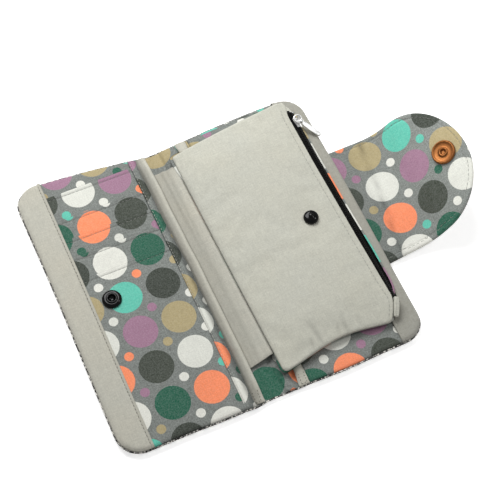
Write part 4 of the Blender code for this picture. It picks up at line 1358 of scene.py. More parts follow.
def pouch_high(u):
    u = np.clip(u, 0, 1)
    return POUCH_HIGH[0] + (POUCH_HIGH[1] - POUCH_HIGH[0]) * u ** 0.86 + 0.5 * np.sin(np.pi * u)


def pouch_uv(x, y):
    u = (x - PX[0]) / (PX[1] - PX[0])
    f = (y + 88.5) / 187.0
    return u, f


def pouch_warp(x, y):
    u, f = pouch_uv(x, y)
    y2 = pouch_low(u) * (1 - f) + pouch_high(u) * f
    return pouch_left(y2) * (1 - u) + pouch_right(y2) * u, y2


def pouch_u(x, y):
    return (x - pouch_left(y)) / (pouch_right(y) - pouch_left(y))


def pouch_shape(x, y):
    """The front panel's seat before the cloth is let go."""
    u = pouch_u(x, y)
    lo, hi = pouch_low(u), pouch_high(u)
    e = np.minimum(np.minimum(y - lo, hi - y), x - pouch_left(y))
    z = 10.3 + 1.9 * step(e, 0, 24) + 0.8 * step(e, 0, 60)
    w = pouch_right(y) - x
    return z * (1 - step(w, 13, 0.7)) + (12.35 + 0.25 * step(e, 0, 20) - 2.0 * step(y, -72, -86)) * step(w, 13, 0.7)


def lift(x, y):
    """The lower seam stands off the page a little in its middle."""
    u = pouch_u(x, y)
    return 0.9 * np.sin(np.pi * np.clip(u, 0, 1)) ** 1.5 * step(y - pouch_low(u), 24, 0)


def zip_seam(y):
    """How far the row of stitches beside the zip keeps from the panel's edge."""
    return 4.0 - 1.2 * step(y, -55, -76)


# short creases that run up from the lower seam: place, height, depth, lean
CREASES = ((30.5, 15.0, 0.28, 0.10), (38.0, 24.0, 0.46, -0.16), (49.5, 13.0, 0.30, 0.22), (55.5, 18.0, 0.42, 0.05), (66.5, 12.0, 0.28, -0.12))


def creases(x, y, shift=0.0):
    d = y - pouch_low(pouch_u(x, y))
    out = 0.0 * d
    for at, tall, deep, lean in CREASES:
        out = out + deep * bell(x, at + shift + lean * d, 1.15 + 0.03 * np.clip(d, 0, 30)) * step(d, tall, 0.3 * tall) * step(d, 0.6, 3.0)
    return out


def pouch_seated(x, y):
    u = pouch_u(x, y)
    lo, hi = pouch_low(u), pouch_high(u)
    w = pouch_right(y) - x
    z = pouch_shape(x, y) + lift(x, y)
    mid = step(x, 6, 18) * step(w, 5, 12)
    z = z + 0.42 * wave(x / 13.0 + y / 140.0, y / 90.0, 111) * mid
    z = z + 0.17 * wave(x / 7.5 + y / 60.0, y / 40.0, 112) * mid
    # short puckers above the bottom edge
    near = step(y - lo, 28, 2)
    z = z + 0.75 * near * mid * wave(x / 5.6 + (y - lo) / 40.0, (y - lo) / 40.0, 113) * (0.3 + 0.7 * step(x, 22, 48))
    near = step(hi - y, 20, 2)
    z = z + 0.3 * near * mid * wave(x / 6.0, (hi - y) / 30.0, 114)
    # the cloth dips a little where the stud is pressed through it
    r = np.hypot(x - STUD[0], y - STUD[1])
    z = z * (1 - step(r, 12, 6)) + np.minimum(z, 13.15) * step(r, 12, 6)
    # a sewn fold beside the zip
    return z - 0.22 * bell(w, zip_seam(y), 0.5) + 0.12 * bell(w, 2.4, 1.2)


def pouch_top(x, y):
    return pouch_seated(x, y) - creases(x, y) + 0.7 * creases(x, y, 2.1)


def pouch_seat(x, y):
    a, b = pouch_warp(x, y)
    return np.stack([a, b, pouch_seated(a, b)], -1)


def pouch_pin(x, y):
    a, b = pouch_warp(x, y)
    u, f = pouch_uv(x, y)
    sewn = np.maximum.reduce([step(a - pouch_left(b), 2.5, 0.5), step(pouch_right(b) - a, 6.0, 4.4), step(f, 0.012, 0.004), step(f, 0.988, 0.996)])
    return np.maximum(sewn, step(np.hypot(a - STUD[0], b - STUD[1]), 9, 6))


swell = settle("pouch_panel", (PX[0], PX[1], -88.5, 98.5), 2.9, pouch_seat, pouch_pin, pressure=0.9, grow=0.0035, frames=26, cap=1.3, seed=1)
# painted shade along the row of stitches by the zip and, strongly, in the creases over the lower seam
pouch_front = plate("pouch_front_cloth", (PX[0], PX[1], -88.5, 98.5), BEIGE_POUCH, pouch_top,
                    lambda x, y: 8.0 + 3.4 * step(pouch_right(y) - x, 6.5, 0.3) * step(y, -86, -74),
                    sides={"l": (8.35, 4.6, 0.35), "b": (lambda x, y: 8.7 + lift(x, y), 2.4, 0.7), "t": (8.9, 2.8, 0.7), "r": (None, 0.5, 0.5)},
                    radii=(4.0, 2.0, 7.0, 1.4), pace=(1.15, 2.1), extra=((85.8, 86.6, 87.4, 88.2), ()), warp=pouch_warp, relief=swell, phase=(50, 11, 70),
                    groove=lambda x, y: 0.2 * bell(pouch_right(y) - x, zip_seam(y), 0.4) + 1.9 * creases(x, y))
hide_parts("pouch_front")
on_pouch = surface(pouch_front)
line = []
for y in np.linspace(-81.0, 92.5, 80):
    line.append((float(pouch_right(y)) - zip_seam(y), y))
s = stitches("pouch_zip_stitches", [np.array(line)], on_pouch, THREAD_GREY, 1.9, 1.0, 0.15, seed=21)
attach(s, "pouch")
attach(pouch_front, "pouch")


def pouch_back_warp(x, y):
    u, f = pouch_uv(x, y)
    y2 = pouch_low(u) * (1 - f) + pouch_high(u) * f - 2.6 * step(u, 0.93, 1.0) * f
    # its edge shows past the front panel at the lower corner
    near = step(u, 0.25, 0.02)
    out = (1.7 * step(y2, -62, -84) + 2.6 * step(y2, 60, 82)) * near
    return (pouch_left(y2) + 0.5) * (1 - u) + (pouch_right(y2) + 1.3) * u - out, y2 - 1.1 * near * step(y2, -60, -84) + 1.8 * near * step(y2, 70, 83)


pouch_back = plate("pouch_back_cloth", (PX[0], PX[1], -88.0, 97.9), PRINT,
                   lambda x, y: 7.85 + 0 * x, lambda x, y: 6.75 + soft(x, y, 0.16, 16, 121) - 0.12 * wave(x / 5.0, y / 30.0, 122),
                   sides={"l": (7.7, 0.6, 1.2), "b": (7.7, 0.6, 1.2), "t": (8.0, 0.6, 1.2), "r": (None, 0.4, 0.4)},
                   radii=(5.0, 2.0, 0, 3.0), pace=(3.2, 3.4), warp=pouch_back_warp, phase=(5.0, -3.0, 27))
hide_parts("pouch_back")
under = surface(pouch_back)
path = [np.stack([np.linspace(12, 84, 40), [float(pouch_low((x - 7.0) / 78) + 2.8) for x in np.linspace(12, 84, 40)]], 1)]
s = stitches("pouch_back_stitches", path, under, THREAD_GREY, 2.2, 0.9, 0.16, side=-1, seed=22)
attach(s, "pouch")
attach(pouch_back, "pouch")

# zip: its own frame, across and out of the pouch
ZC = np.array([94.0, 0.0, 10.2])
Q2 = math.sqrt(0.5)
ACR, OUT = np.array([Q2, 0, -Q2]), np.array([Q2, 0, Q2])


def zip_place(a, y, o):
    return ZC + ACR * a + OUT * o + np.array([0, y, 0])


ZIP_LOW = -71.4
ZY = np.linspace(ZIP_LOW - 1.6, 88.0, 68)


def front_share(y):
    """How much of the front tape shows past the panel's edge."""
    return float(np.clip((93.36 - float(pouch_right(y)) - 0.55) / 3.28, 0.1, 1.0))


def back_reach(y):
    """How far the back tape lies out on the facing."""
    return 1.25 * float(step(y, 12, -38)) * (1 - float(step(y, -56, -70))) + 0.04


def front_tape_place(a, y, o):
    k = front_share(y)
    return zip_place(-1 + (a + 1) * k, y, o * k)


def back_tape_place(a, y, o):
    if a > 4.4:
        k = back_reach(y) / 1.25
        return zip_place(4.4 + (a - 4.4) * k, y, o * k)
    return zip_place(a, y, o)


def tape(name, a0, a1, node, place, beyond=()):
    n = 9
    line = [(a0 + (a1 - a0) * k / n, -0.18 * math.sin(math.pi * k / n)) for k in range(n + 1)]
    line = [p for p in beyond if p[0] < a0] + line + [p for p in beyond if p[0] > a1]
    o = strip(name, band_section(line, 0.42), ZY, TAPE, place=place, sharp=60)
    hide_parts(node)
    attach(o, "pouch")
    return o


tape("zip_tape_front_cloth", -4.4, -1.0, "zip_tape_front", front_tape_place, ((-5.2, -1.4), (-4.85, -0.6)))
tape("zip_tape_back_cloth", 1.0, 4.4, "zip_tape_back", back_tape_place, ((4.8, 0.35), (5.28, 0.88)))


def teeth(name, side, node):
    runs = []
    pitch = 1.5
    y = ZIP_LOW + (0 if side < 0 else pitch / 2)
    while y < 86.2:
        pts = []
        for a, o, dy in ((2.35, -0.1, -0.12), (1.7, 0.42, -0.05), (0.9, 0.62, 0.0), (0.2, 0.55, 0.0), (-0.35, 0.18, 0.0)):
            pts.append(zip_place(a * side * (1 - 0.2 * float(step(y, -42, -62)) * (side < 0)), y + dy, o))
        runs.append((np.array(pts), [OUT] * 5, 0.52))
        y += pitch
    # the coil's lower strand, seen when the pouch is turned
    y = ZIP_LOW + (0 if side < 0 else pitch / 2)
    while y < 86.2:
        pts = [zip_place(a * side, y + 0.1, o) for a, o in ((2.35, -0.15), (1.5, -0.5), (0.7, -0.55), (-0.2, -0.35))]
        runs.append((np.array(pts), [OUT] * 4, 0.45))
        y += pitch
    o = capsules(name, runs, NYLON, sides=8)
    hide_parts(node)
    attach(o, "pouch")


teeth("zip_teeth_front_row", -1, "zip_teeth_front")
teeth("zip_teeth_back_row", 1, "zip_teeth_back")

facing_line = [(91.8, 7.15), (93.4, 7.05), (95.2, 6.9), (96.4, 6.68), (97.1, 6.62), (97.6, 6.85), (97.75, 7.3), (97.6, 7.75), (97.2, 8.1), (96.7, 8.3)]


def facing_place(x, y, z):
    out = back_reach(y) - 0.45 * float(step(y, 15, 55)) - 0.8 * float(step(y, -58, -72))
    end = float(step(y, -62, -74))
    return (x + (out - 2.6 * end) * float(step(x, 88, 95)), y, z - 0.5 * end * float(step(x, 92, 95)))


facing = strip("zip_facing_cloth", band_section(facing_line, 0.5), np.linspace(-72.5, 87.5, 64), PRINT, phase=(33.0, 124.0, 30), sharp=60, place=facing_place)
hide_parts("zip_facing")
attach(facing, "pouch")


def end_tab(name, path, sizes, node, seed, phase):
    """The folded end of the zip: a soft flat tube along a path of (x, y, z)."""
    path, sizes = np.array(path, float), np.array(sizes, float)
    n, m = 30, 30
    t = np.linspace(0, 1, n)
    k = np.linspace(0, 1, len(path))

    def smooth(col):
        # a cubic through the given points, by repeated averaging
        v = np.interp(np.linspace(0, 1, 200), k, col)
        for _ in range(60):
            v[1:-1] = (v[:-2] + v[1:-1] + v[2:]) / 3
        return np.interp(t, np.linspace(0, 1, 200), v)

    c = np.stack([smooth(path[:, i]) for i in range(3)], 1)
    w, h = smooth(sizes[:, 0]), smooth(sizes[:, 1])
    tan = np.gradient(c, axis=0)
    tan /= np.linalg.norm(tan, axis=1)[:, None]
    verts, flat = [], []
    length = np.concatenate([[0], np.cumsum(np.linalg.norm(np.diff(c, axis=0), axis=1))])
    for i in range(n):
        up_dir = np.array([0.32, 0, 0.947])
        side = np.cross(tan[i], up_dir)
        side /= np.linalg.norm(side)
        nn = np.cross(side, tan[i])
        e = min(length[i], length[-1] - length[i])
        cap = float(rim(e, 0.9)) * 0.85 + 0.15
        for j in range(m):
            th = 2 * math.pi * j / m
            co, si = math.cos(th), math.sin(th)
            a = math.copysign(abs(co) ** 0.6, co) * w[i] / 2 * cap
            b = math.copysign(abs(si) ** 0.62, si) * h[i] / 2 * cap
            if si > 0:
                # two sewn folds that draw together towards the lower end
                for f0 in (-0.36, 0.30):
                    b -= 0.34 * math.exp(-((a / (w[i] / 2) - f0 * (1.25 - 0.75 * t[i])) / 0.11) ** 2)
                b += 0.18 * float(wave(a / 1.7, length[i] / 3.2, seed))
            p = c[i] + side * a + nn * b
            verts.append(p)
            flat.append((a, length[i], b))
    faces = []
    for i in range(n - 1):
        for j in range(m):
            faces.append([i * m + j, i * m + (j + 1) % m, (i + 1) * m + (j + 1) % m, (i + 1) * m + j])
    faces.append(list(range(m)))
    faces.append([(n - 1) * m + j for j in range(m)])
    o = put(name, verts, faces, BEIGE_POUCH, np.array(flat), phase, sharp=60)
    outward(o)
    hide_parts(node)
    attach(o, "pouch")
    return o


end_tab("zip_tab_bottom_cloth", [(95.0, -70.4, 11.3), (93.7, -73.5, 11.3), (92.0, -77.0, 11.0), (90.3, -80.2, 10.4), (88.9, -82.8, 9.7)],
        [(3.5, 2.6), (3.8, 3.1), (3.8, 3.1), (3.6, 2.8), (3.1, 2.2)], "zip_end_tab_bottom", 131, (9, 3, 80))
end_tab("zip_tab_top_cloth", [(93.2, 85.6, 10.2), (92.8, 88.0, 10.1), (91.9, 91.0, 9.9), (90.9, 93.6, 9.2)],
        [(3.8, 2.2), (4.0, 2.6), (4.0, 2.7), (3.6, 2.2)], "zip_end_tab_top", 132, (2, 8, 84))


# ---------------------------------------------------------------------------
# flap
# ---------------------------------------------------------------------------
FLAP_LEN, FLAP_HALF, FLAP_END, FLAP_TAPER = 85.3, 46.8, 39.8, 2.1
SLOPES = (7.1, 7.2, 45.5, 38.9, 15.0)
_s = np.linspace(-6, FLAP_LEN + 2, 2000)
_a = np.radians(np.interp(np.clip(_s / FLAP_LEN, 0, 1) * 4, range(5), SLOPES))
_ks = np.exp(-(np.arange(-70, 71) / 35.0) ** 2)
_a = np.convolve(np.pad(_a, 70, mode="edge"), _ks / _ks.sum(), mode="valid")
_ds = _s[1] - _s[0]
_px = np.concatenate([[0], np.cumsum(np.cos((_a[1:] + _a[:-1]) / 2)) * _ds])
_pz = np.concatenate([[0], np.cumsum(np.sin((_a[1:] + _a[:-1]) / 2)) * _ds])
_px += 106.0 - np.interp(0, _s, _px)
_pz += 4.0 - np.interp(0, _s, _pz)


def flap_at(s, y, depth):
    x, z, a = np.interp(s, _s, _px), np.interp(s, _s, _pz), np.interp(s, _s, _a)
    return np.stack([x - np.sin(a) * depth, FLAP_Y + y, z + np.cos(a) * depth], -1)


def flap_half(s):
    body = FLAP_LEN - FLAP_END
    w = FLAP_HALF - FLAP_TAPER * np.clip(np.asarray(s, float) / body, 0, 1)
    t = np.clip((np.asarray(s, float) - body) / FLAP_END, 0, 1)
    return w * np.sqrt(np.maximum(0, 1 - t ** 1.91))


JOIN = 8.0
RINGS = np.array([0, 0.06, 0.22, 0.5, 0.85, 1.3, 1.9, 2.6, 3.2, 3.5, 3.8, 4.1, 4.5, 5.5, 7.0])
INNER_COLS = 34


def flap_outline(n):
    """The tip piece's outline from one side of the join to the other."""
    k = np.linspace(0, 1, 4000)
    s = JOIN + (FLAP_LEN - JOIN) * np.sin(k * math.pi / 2)
    w = flap_half(s)
    w[-1] = 0
    left = np.stack([s, -w], 1)
    pts = np.concatenate([left, left[::-1][1:] * np.array([1, -1])])
    seg = np.linalg.norm(np.diff(pts, axis=0), axis=1)
    d = np.concatenate([[0], np.cumsum(seg)])
    t = np.linspace(0, d[-1], n)
    return np.stack([np.interp(t, d, pts[:, 0]), np.interp(t, d, pts[:, 1])], 1)


OUTLINE = flap_outline(2001)
_tan = np.gradient(OUTLINE, axis=0)
_tan /= np.linalg.norm(_tan, axis=1)[:, None]
_nor = np.stack([_tan[:, 1], -_tan[:, 0]], 1) * -1.0      # towards the inside


def ring_curve(d):
    """The outline drawn in by d, as 2001 points of (s, y)."""
    n = _nor.copy()
    k = np.linspace(0, 1, len(n))
    ease = np.minimum(step(k, 0, 0.08), step(1 - k, 0, 0.08))
    n[:, 0] *= ease
    n /= np.linalg.norm(n, axis=1)[:, None]
    return OUTLINE + n * d


def along(curve, f):
    k = np.asarray(f) * (len(curve) - 1)
    i = np.clip(k.astype(int), 0, len(curve) - 2)
    r = (k - i)[:, None]
    return curve[i] * (1 - r) + curve[i + 1] * r


def flap_tip_grid():
    K = len(RINGS)
    nu, nv = 46, INNER_COLS + 2 * (K - 1) + 1
    corner_f = 0.34
    S = np.zeros((nu, nv, 2))
    D = np.zeros((nu, nv))
    for k, d in enumerate(RINGS):
        c = ring_curve(d)
        rows = nu - k
        left = along(c, np.linspace(0, corner_f, rows))
        rightc = along(c, np.linspace(1, 1 - corner_f, rows))
        cols = nv - 2 * k
        end = along(c, np.linspace(corner_f, 1 - corner_f, cols))
        S[:rows, k] = left
        S[:rows, nv - 1 - k] = rightc
        S[rows - 1, k:nv - k] = end
        D[:rows, k] = D[:rows, nv - 1 - k] = d
        D[rows - 1, k:nv - k] = d
    # fill inside the last ring
    k = K - 1
    i1, j0, j1 = nu - 1 - k, k, nv - 1 - k
    for j in range(j0, j1 + 1):
        f = (j - j0) / (j1 - j0)
        S[0, j] = S[0, j0] * (1 - f) + S[0, j1] * f
    for i in range(1, i1):
        u = i / i1
        for j in range(j0 + 1, j1):
            v = (j - j0) / (j1 - j0)
            coons = ((1 - v) * S[i, j0] + v * S[i, j1] + (1 - u) * S[0, j] + u * S[i1, j]
                     - ((1 - u) * ((1 - v) * S[0, j0] + v * S[0, j1]) + u * ((1 - v) * S[i1, j0] + v * S[i1, j1])))
            S[i, j] = coons
            D[i, j] = RINGS[-1] + 3
    D[0, j0 + 1:j1] = RINGS[-1] + 3
    for kk in range(K):
        S[0, kk, 0] = JOIN
        S[0, nv - 1 - kk, 0] = JOIN
    S[0, :, 0] = JOIN
    return S, D


def flap_root_grid():
    K = len(RINGS)
    s = np.array([-2.2, -1.0, 0.2, 1.4, 2.6, 3.8, 5.0, 6.2, 7.2, JOIN])
    nv = INNER_COLS + 2 * (K - 1) + 1
    S = np.zeros((len(s), nv, 2))
    D = np.zeros((len(s), nv))
    for i, si in enumerate(s):
        w = float(flap_half(max(0.0, si)))
        cols = np.concatenate([-w + RINGS, np.linspace(-w + RINGS[-1], w - RINGS[-1], INNER_COLS + 1)[1:-1], (w - RINGS)[::-1]])
        S[i, :, 0] = si
        S[i, :, 1] = cols
        D[i] = np.minimum(w - np.abs(cols), RINGS[-1] + 3)
    return S, D


FLAP_STITCH = 3.8


def flap_face(name, grid, inner, walls, mat, phase):
    S, D = grid
    s, y = S[..., 0], S[..., 1]
    soft_in = 0.22 * wave(s / 13.0, y / 13.0, 141) + 0.08 * wave(s / 4.0, y / 4.0, 142)
    groove = 0.26 * bell(D, FLAP_STITCH, 0.45)
    mid = -1.45
    if inner:
        top = 0.05 + soft_in * step(D, 0.5, 6) - groove
        low = -1.38 + 0 * s
        zt = mid + (top - mid) * rim(D, 1.5)
        zb = mid + (low - mid) * rim(D, 1.0)
    else:
        top = -1.5 + 0 * s
        low = -2.85 + 0.6 * soft_in * step(D, 0.5, 6) + groove
        zt = mid + (top - mid) * rim(D, 1.0)
        zb = mid + (low - mid) * rim(D, 1.5)
        out = 0.35
        # a lift for the tweed along the rim, multiplied by zero here, so the tweed does not stand proud of the lining
        zt = zt + 0.0 * out
    TOPS, BOTS = flap_at(s, y, zt), flap_at(s, y, zb)
    flat = np.stack([s + 106, y + FLAP_Y, 0 * s], -1)
    # painted shade: soft darker bands across it, where it has been bent to close
    fold_shade = 0.85 * bell(s, 16 + 0.14 * y + 1.3 * wave(y / 18.0, 0.4, 151), 1.8) + 0.45 * bell(s, 11.0 + 0.9 * wave(y / 14.0, 2.2, 152), 1.3)
    return closed_sheet(name, TOPS, BOTS, mat, walls, flat, phase, 50, fold_shade * (0.5 + wave(s / 9.0, y / 12.0, 153)).clip(0.25, 1) if inner else None)


tip_grid, root_grid = flap_tip_grid(), flap_root_grid()
ROOT_BLEND = [tuple(flap_at(np.array(v), np.array(0.0), np.array(0.0)) * MM) for v in (0.0, JOIN)]
TIP_BLEND = [tuple(flap_at(np.array(v), np.array(0.0), np.array(0.0)) * MM) for v in (JOIN, 26.0)]
FLAP_PHASE = (-7.5, 4.0, 33)
parts = {}
for inner, mat, slot_name, word in ((True, PRINT_FLAP_LIT, "print_cloth", "lining"), (False, TWEED, "tweed", "tweed")):
    a = flap_face("flap_root_" + word, root_grid, inner, "lr", mat, FLAP_PHASE)
    b = flap_face("flap_tip_" + word, tip_grid, inner, "l", mat, FLAP_PHASE)
    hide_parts("flap_root_inner" if inner else "flap_root_outer")
    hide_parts("flap_tip_inner" if inner else "flap_tip_outer")
    parts[word] = (a, b)

CLOSE_S = 69.5
for word, depth, tone in (("lining", 1.5, THREAD_GREY), ("tweed", -4.5, THREAD_DARK)):
    a, b = parts[word]
    c = ring_curve(FLAP_STITCH)
    path3 = flap_at(c[:, 0], c[:, 1], np.full(len(c), depth))[::8]
    t = stitches("flap_tip_stitches_" + word, [path3], surface(b), tone, 2.2, 0.95, 0.15, seed=30)
    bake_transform(t)
    sides = []
    for sg in (-1, 1):
        ss = np.linspace(0.5, JOIN - 0.1, 20)
        yy = sg * (flap_half(ss) - FLAP_STITCH)
        sides.append(flap_at(ss, yy, np.full(20, depth)))
    r = stitches("flap_root_stitches_" + word, sides, surface(a), tone, 2.2, 0.95, 0.15, seed=31)
    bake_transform(r)
    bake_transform(a)
    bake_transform(b)


# ---------------------------------------------------------------------------
# press snaps
# ---------------------------------------------------------------------------
def hardware(o, node, body):
    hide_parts(node)
    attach(o, body)
    return o


hardware(lathe("snap_socket_ring", [(0, 6.4), (0.7, 6.46), (1.4, 6.75), (2.0, 7.3), (2.3, 8.0), (2.45, 8.6), (2.9, 8.9), (3.5, 8.75), (3.9, 8.3), (4.5, 8.35), (5.4, 8.1), (6.2, 7.5), (6.5, 6.7), (6.4, 6.1), (0, 6.05)],
                     (SOCKET[0], SOCKET[1], 0), GUNMETAL, r=0.3), "snap_socket", "front_page")
hardware(lathe("snap_stud_button", [(0, 17.7), (0.9, 17.62), (1.45, 17.3), (1.6, 16.9), (1.62, 16.55), (2.1, 16.35), (3.2, 16.2), (4.2, 15.75), (4.95, 14.9), (5.15, 14.0), (5.0, 13.45), (4.4, 13.1), (0, 13.05)],
                     (STUD[0], STUD[1], 0), GUNMETAL, r=0.3), "snap_stud", "pouch")

csx, csz, csa = float(np.interp(CLOSE_S, _s, _px)), float(np.interp(CLOSE_S, _s, _pz)), float(np.interp(CLOSE_S, _s, _a))
tilt = Matrix.Rotation(-csa, 3, "Y")


def ripples(rad, a):
    # faint turning marks in the ring between the raised circles
    return 0.018 * math.sin(rad * 26.0) if 3.4 < rad < 7.0 else 0.0


hardware(lathe("closure_socket_ring", [(0, 0.62), (0.9, 0.6), (1.35, 0.7), (1.6, 1.35), (2.1, 1.95), (2.75, 2.05), (3.2, 1.7), (3.45, 1.32), (4.0, 1.2), (4.8, 1.22), (5.6, 1.34), (6.3, 1.5), (6.9, 1.95), (7.4, 2.1), (7.95, 1.8), (8.3, 1.1), (8.32, 0.45), (8.0, 0.22), (0, 0.2)],
                     (csx, FLAP_Y + 0.4, csz), COPPER, turn=tilt, steps=96, r=0.22, scallop=ripples), "closure_socket", "flap_tip")
hardware(lathe("closure_cap_dome", [(0, -3.05), (6.2, -3.05), (6.55, -3.3), (6.6, -3.8), (6.3, -4.3), (5.4, -4.85), (3.6, -5.1), (0, -5.2)],
                     (csx, FLAP_Y + 0.4, csz), COPPER, turn=tilt, steps=96, r=0.3), "closure_cap", "flap_tip")
hardware(lathe("closure_stud_button", [(0, 2.08), (5.7, 2.08), (5.8, 1.95), (5.8, 1.6), (5.4, 1.4), (3.7, 1.25), (3.35, 1.0), (3.2, 0.5), (2.8, 0.3), (0, 0.3)],
                     (CLOSURE[0], CLOSURE[1], 0), COPPER, r=0.18), "closure_stud", "front_page")


# ---------------------------------------------------------------------------
# zip slider, bail and pull
# ---------------------------------------------------------------------------
SLIDE_Y = 76.5


def shield(a):
    """Half width of the slider's plate along its length, a from -1 to 1."""
    return 2.55 + 0.95 * float(step(a, -0.6, 0.45)) - 0.9 * float(step(a, 0.72, 1.0)) ** 2 - 0.35 * float(step(a, -0.8, -1.0))


def slider_body():
    verts, faces = [], []
    n = 26
    rows = []
    for i in range(n + 1):
        a = -1 + 2 * i / n
        y = 4.4 * a
        w = shield(a)
        end = float(rim(min(i, n - i) / n * 8.8, 0.8))
        top, side = 1.05 + 0.85 * (0.6 + 0.4 * end), 0.5
        # closed section: crowned top plate, a short flange down each side
        sec = [(-w * 0.98, 0.45), (-w, 0.9), (-w * 0.97, 1.3 + 0.2 * end), (-w * 0.75, 1.75), (-w * 0.4, top + 0.08 * end), (0, top + 0.14 * end), (w * 0.4, top + 0.08 * end), (w * 0.75, 1.75),
               (w * 0.97, 1.3 + 0.2 * end), (w, 0.9), (w * 0.98, 0.45), (w * 0.86, 0.45), (w * 0.84, 0.95), (w * 0.5, 1.0), (0, 1.0), (-w * 0.5, 1.0), (-w * 0.84, 0.95), (-w * 0.86, 0.45)]
        row = []
        for q, o in sec:
            row.append(len(verts))
            verts.append(zip_place(q, SLIDE_Y + y * (1 if end >= 1 else (0.9 + 0.1 * end)), o))
        rows.append(row)
    m = len(rows[0])
    for r0, r1 in zip(rows, rows[1:]):
        for k in range(m):
            faces.append([r0[k], r0[(k + 1) % m], r1[(k + 1) % m], r1[k]])
    faces.append(rows[0][::-1])
    faces.append(rows[-1])
    # lower plate
    rows = []
    for i in range(n + 1):
        a = -1 + 2 * i / n
        w = shield(a) * 0.62
        end = float(rim(min(i, n - i) / n * 8.8, 0.8))
        sec = [(-w, -0.95), (w, -0.95), (w * 0.98, -1.25 - 0.2 * end), (w * 0.7, -1.45 - 0.2 * end), (0, -1.5 - 0.2 * end), (-w * 0.7, -1.45 - 0.2 * end), (-w * 0.98, -1.25 - 0.2 * end)]
        row = []
        for q, o in sec:
            row.append(len(verts))
            verts.append(zip_place(q, SLIDE_Y + 4.4 * a, o))
        rows.append(row)
    m = len(rows[0])
    for r0, r1 in zip(rows, rows[1:]):
        for k in range(m):
            faces.append([r0[k], r0[(k + 1) % m], r1[(k + 1) % m], r1[k]])
    faces.append(rows[0][::-1])
    faces.append(rows[-1])
    # the bridge between the plates, at the wide end
    rows = []
    for o in (-1.2, -0.5, 0.4, 1.2):
        row = []
        for k in range(12):
            t = 2 * math.pi * k / 12
            row.append(len(verts))
            verts.append(zip_place(0.38 * math.cos(t), SLIDE_Y + 2.9 + 1.1 * math.sin(t), o))
        rows.append(row)
    for r0, r1 in zip(rows, rows[1:]):
        for k in range(12):
            faces.append([r0[k], r0[(k + 1) % 12], r1[(k + 1) % 12], r1[k]])
    faces.append(rows[0][::-1])
    faces.append(rows[-1])
    o = put("zip_slider_body", verts, faces, NICKEL, sharp=45)
    outward(o)
    return o


hardware(slider_body(), "zip_slider", "zip_slider")


PULL_AT, PULL_TIP = np.array([96.6, 76.0, 13.1]), np.array([105.2, 64.6, 7.6])
e1 = (PULL_TIP - PULL_AT) / np.linalg.norm(PULL_TIP - PULL_AT)
e3 = np.array([-e1[1], e1[0], 0.0])
e3 /= np.linalg.norm(e3)
e2 = np.cross(e3, e1)


def bail_ring():
    """A round wire loop over the slider; the tag hangs on its near side."""
    verts, faces = [], []
    n, m, R, w = 44, 12, 2.8, 0.56
    c = PULL_AT - e1 * R
    for i in range(n):
        t = 2 * math.pi * i / n
        d = math.cos(t) * e1 + math.sin(t) * e3
        for k in range(m):
            f = 2 * math.pi * k / m
            verts.append(c + d * (R + w * math.cos(f)) + e2 * (w * math.sin(f)))
    for i in range(n):
        for k in range(m):
            faces.append([i * m + k, ((i + 1) % n) * m + k, ((i + 1) % n) * m + (k + 1) % m, i * m + (k + 1) % m])
    for side in (-1, 1):
        topp = c + e3 * (R * side) + e1 * 0.4
        drop = np.dot(topp - np.array([94.0, topp[1], 10.2]), OUT) - 1.6
        base = len(verts)
        rows = 9
        for i in range(rows):
            f = i / (rows - 1)
            p = topp - OUT * drop * f - e3 * side * 1.3 * math.sin(f * math.pi / 2) ** 2
            rr = 0.52 + 0.25 * f ** 2
            b = np.cross(OUT, e3)
            b /= np.linalg.norm(b)
            a = np.cross(b, OUT)
            for k in range(m):
                g = 2 * math.pi * k / m
                verts.append(p + rr * (math.cos(g) * a + 1.3 * math.sin(g) * b))
        for i in range(rows - 1):
            for k in range(m):
                q, r = base + i * m + k, base + i * m + (k + 1) % m
                faces.append([q, r, r + m, q + m])
        faces.append([base + k for k in range(m)][::-1])
        faces.append([base + (rows - 1) * m + k for k in range(m)])
    o = put("zip_bail_wire", verts, faces, NICKEL, sharp=60)
    outward(o)
    return o


hardware(bail_ring(), "zip_bail", "zip_slider")


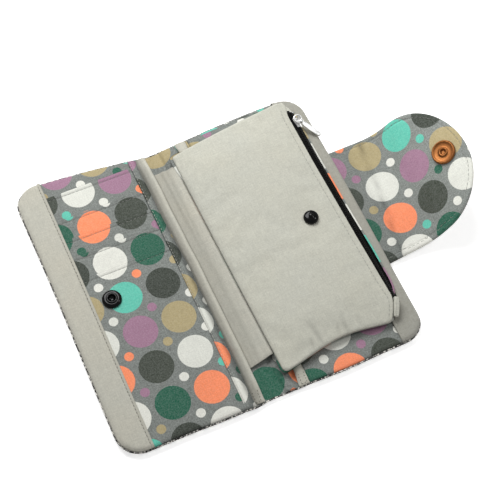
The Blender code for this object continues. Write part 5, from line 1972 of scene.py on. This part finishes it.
def pull_tag():
    """A ring that runs on the bail, and a tapered tag that ends in a drop."""
    verts, faces = [], []

    def at(a, b, c):
        return PULL_AT + e1 * a + e3 * b + e2 * c

    # the eye: a flat-sided ring round the bail's crown, seen in the e1-e2 plane
    n, m = 36, 12
    for i in range(n):
        t = 2 * math.pi * i / n
        for k in range(m):
            f = 2 * math.pi * k / m
            rr = 1.24 + 0.38 * math.cos(f)
            verts.append(at(rr * math.cos(t), 1.25 * math.sin(f) * (1 - 0.15 * abs(math.cos(f))), rr * math.sin(t)))
    for i in range(n):
        for k in range(m):
            faces.append([i * m + k, ((i + 1) % n) * m + k, ((i + 1) % n) * m + (k + 1) % m, i * m + (k + 1) % m])
    # the tag, lofted from sections along its length
    base = len(verts)
    rows = [(1.25, 1.15, 0.50), (1.9, 1.55, 0.52), (2.8, 1.95, 0.50), (4.2, 2.15, 0.46), (7.0, 2.2, 0.42), (9.9, 2.1, 0.40), (12.2, 2.0, 0.42),
            (13.7, 1.95, 0.52), (14.6, 1.95, 0.68), (15.5, 1.85, 0.72), (16.3, 1.5, 0.60), (16.75, 0.88, 0.36), (16.9, 0.3, 0.15)]
    m2 = 20
    for a, w, h in rows:
        for k in range(m2):
            f = 2 * math.pi * k / m2
            co, si = math.cos(f), math.sin(f)
            b = math.copysign(abs(co) ** 0.45, co) * w * 0.86
            c = math.copysign(abs(si) ** 0.6, si) * h
            # a shallow channel down the face of the tag
            if 3 < a < 12.7:
                c -= math.copysign(0.14, si) * math.exp(-(b / 0.75) ** 2)
            verts.append(at(a, b, c))
    for i in range(len(rows) - 1):
        for k in range(m2):
            p, q = base + i * m2 + k, base + i * m2 + (k + 1) % m2
            faces.append([p, q, q + m2, p + m2])
    faces.append([base + k for k in range(m2)][::-1])
    faces.append([base + (len(rows) - 1) * m2 + k for k in range(m2)])
    o = put("zip_pull_tag", verts, faces, NICKEL, sharp=60)
    outward(o)
    return o


hardware(pull_tag(), "zip_pull", "zip_pull")

# carried-over nodes, all inside the cloth
for node, mat in (("stiffener_front", BOARD), ("stiffener_back", BOARD), ("snap_socket_backing", STEEL_IN), ("snap_stud_backing", STEEL_IN),
                  ("closure_stud_backing", STEEL_IN), ("zip_stop_top", STEEL_IN), ("zip_stop_bottom", STEEL_IN)):
    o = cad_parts[node]
    if not o.data.materials:
        o.data.materials.append(mat)
    for k in range(len(o.data.materials)):
        o.data.materials[k] = mat
    for sl in o.material_slots:
        sl.material = mat

# ---------------------------------------------------------------------------
# floor
# ---------------------------------------------------------------------------
floor = bpy.data.meshes.new("floor")
n = 24
gx = np.linspace(-3.0, 3.0, n + 1)
verts = [(x, y, -0.0002) for x in gx for y in gx]
faces = [[i * (n + 1) + j, (i + 1) * (n + 1) + j, (i + 1) * (n + 1) + j + 1, i * (n + 1) + j + 1] for i in range(n) for j in range(n)]
floor.from_pydata(verts, [], faces)
floor.materials.append(pale_floor("pale_floor"))
floor_obj = bpy.data.objects.new("floor", floor)
COLLECTION.objects.link(floor_obj)
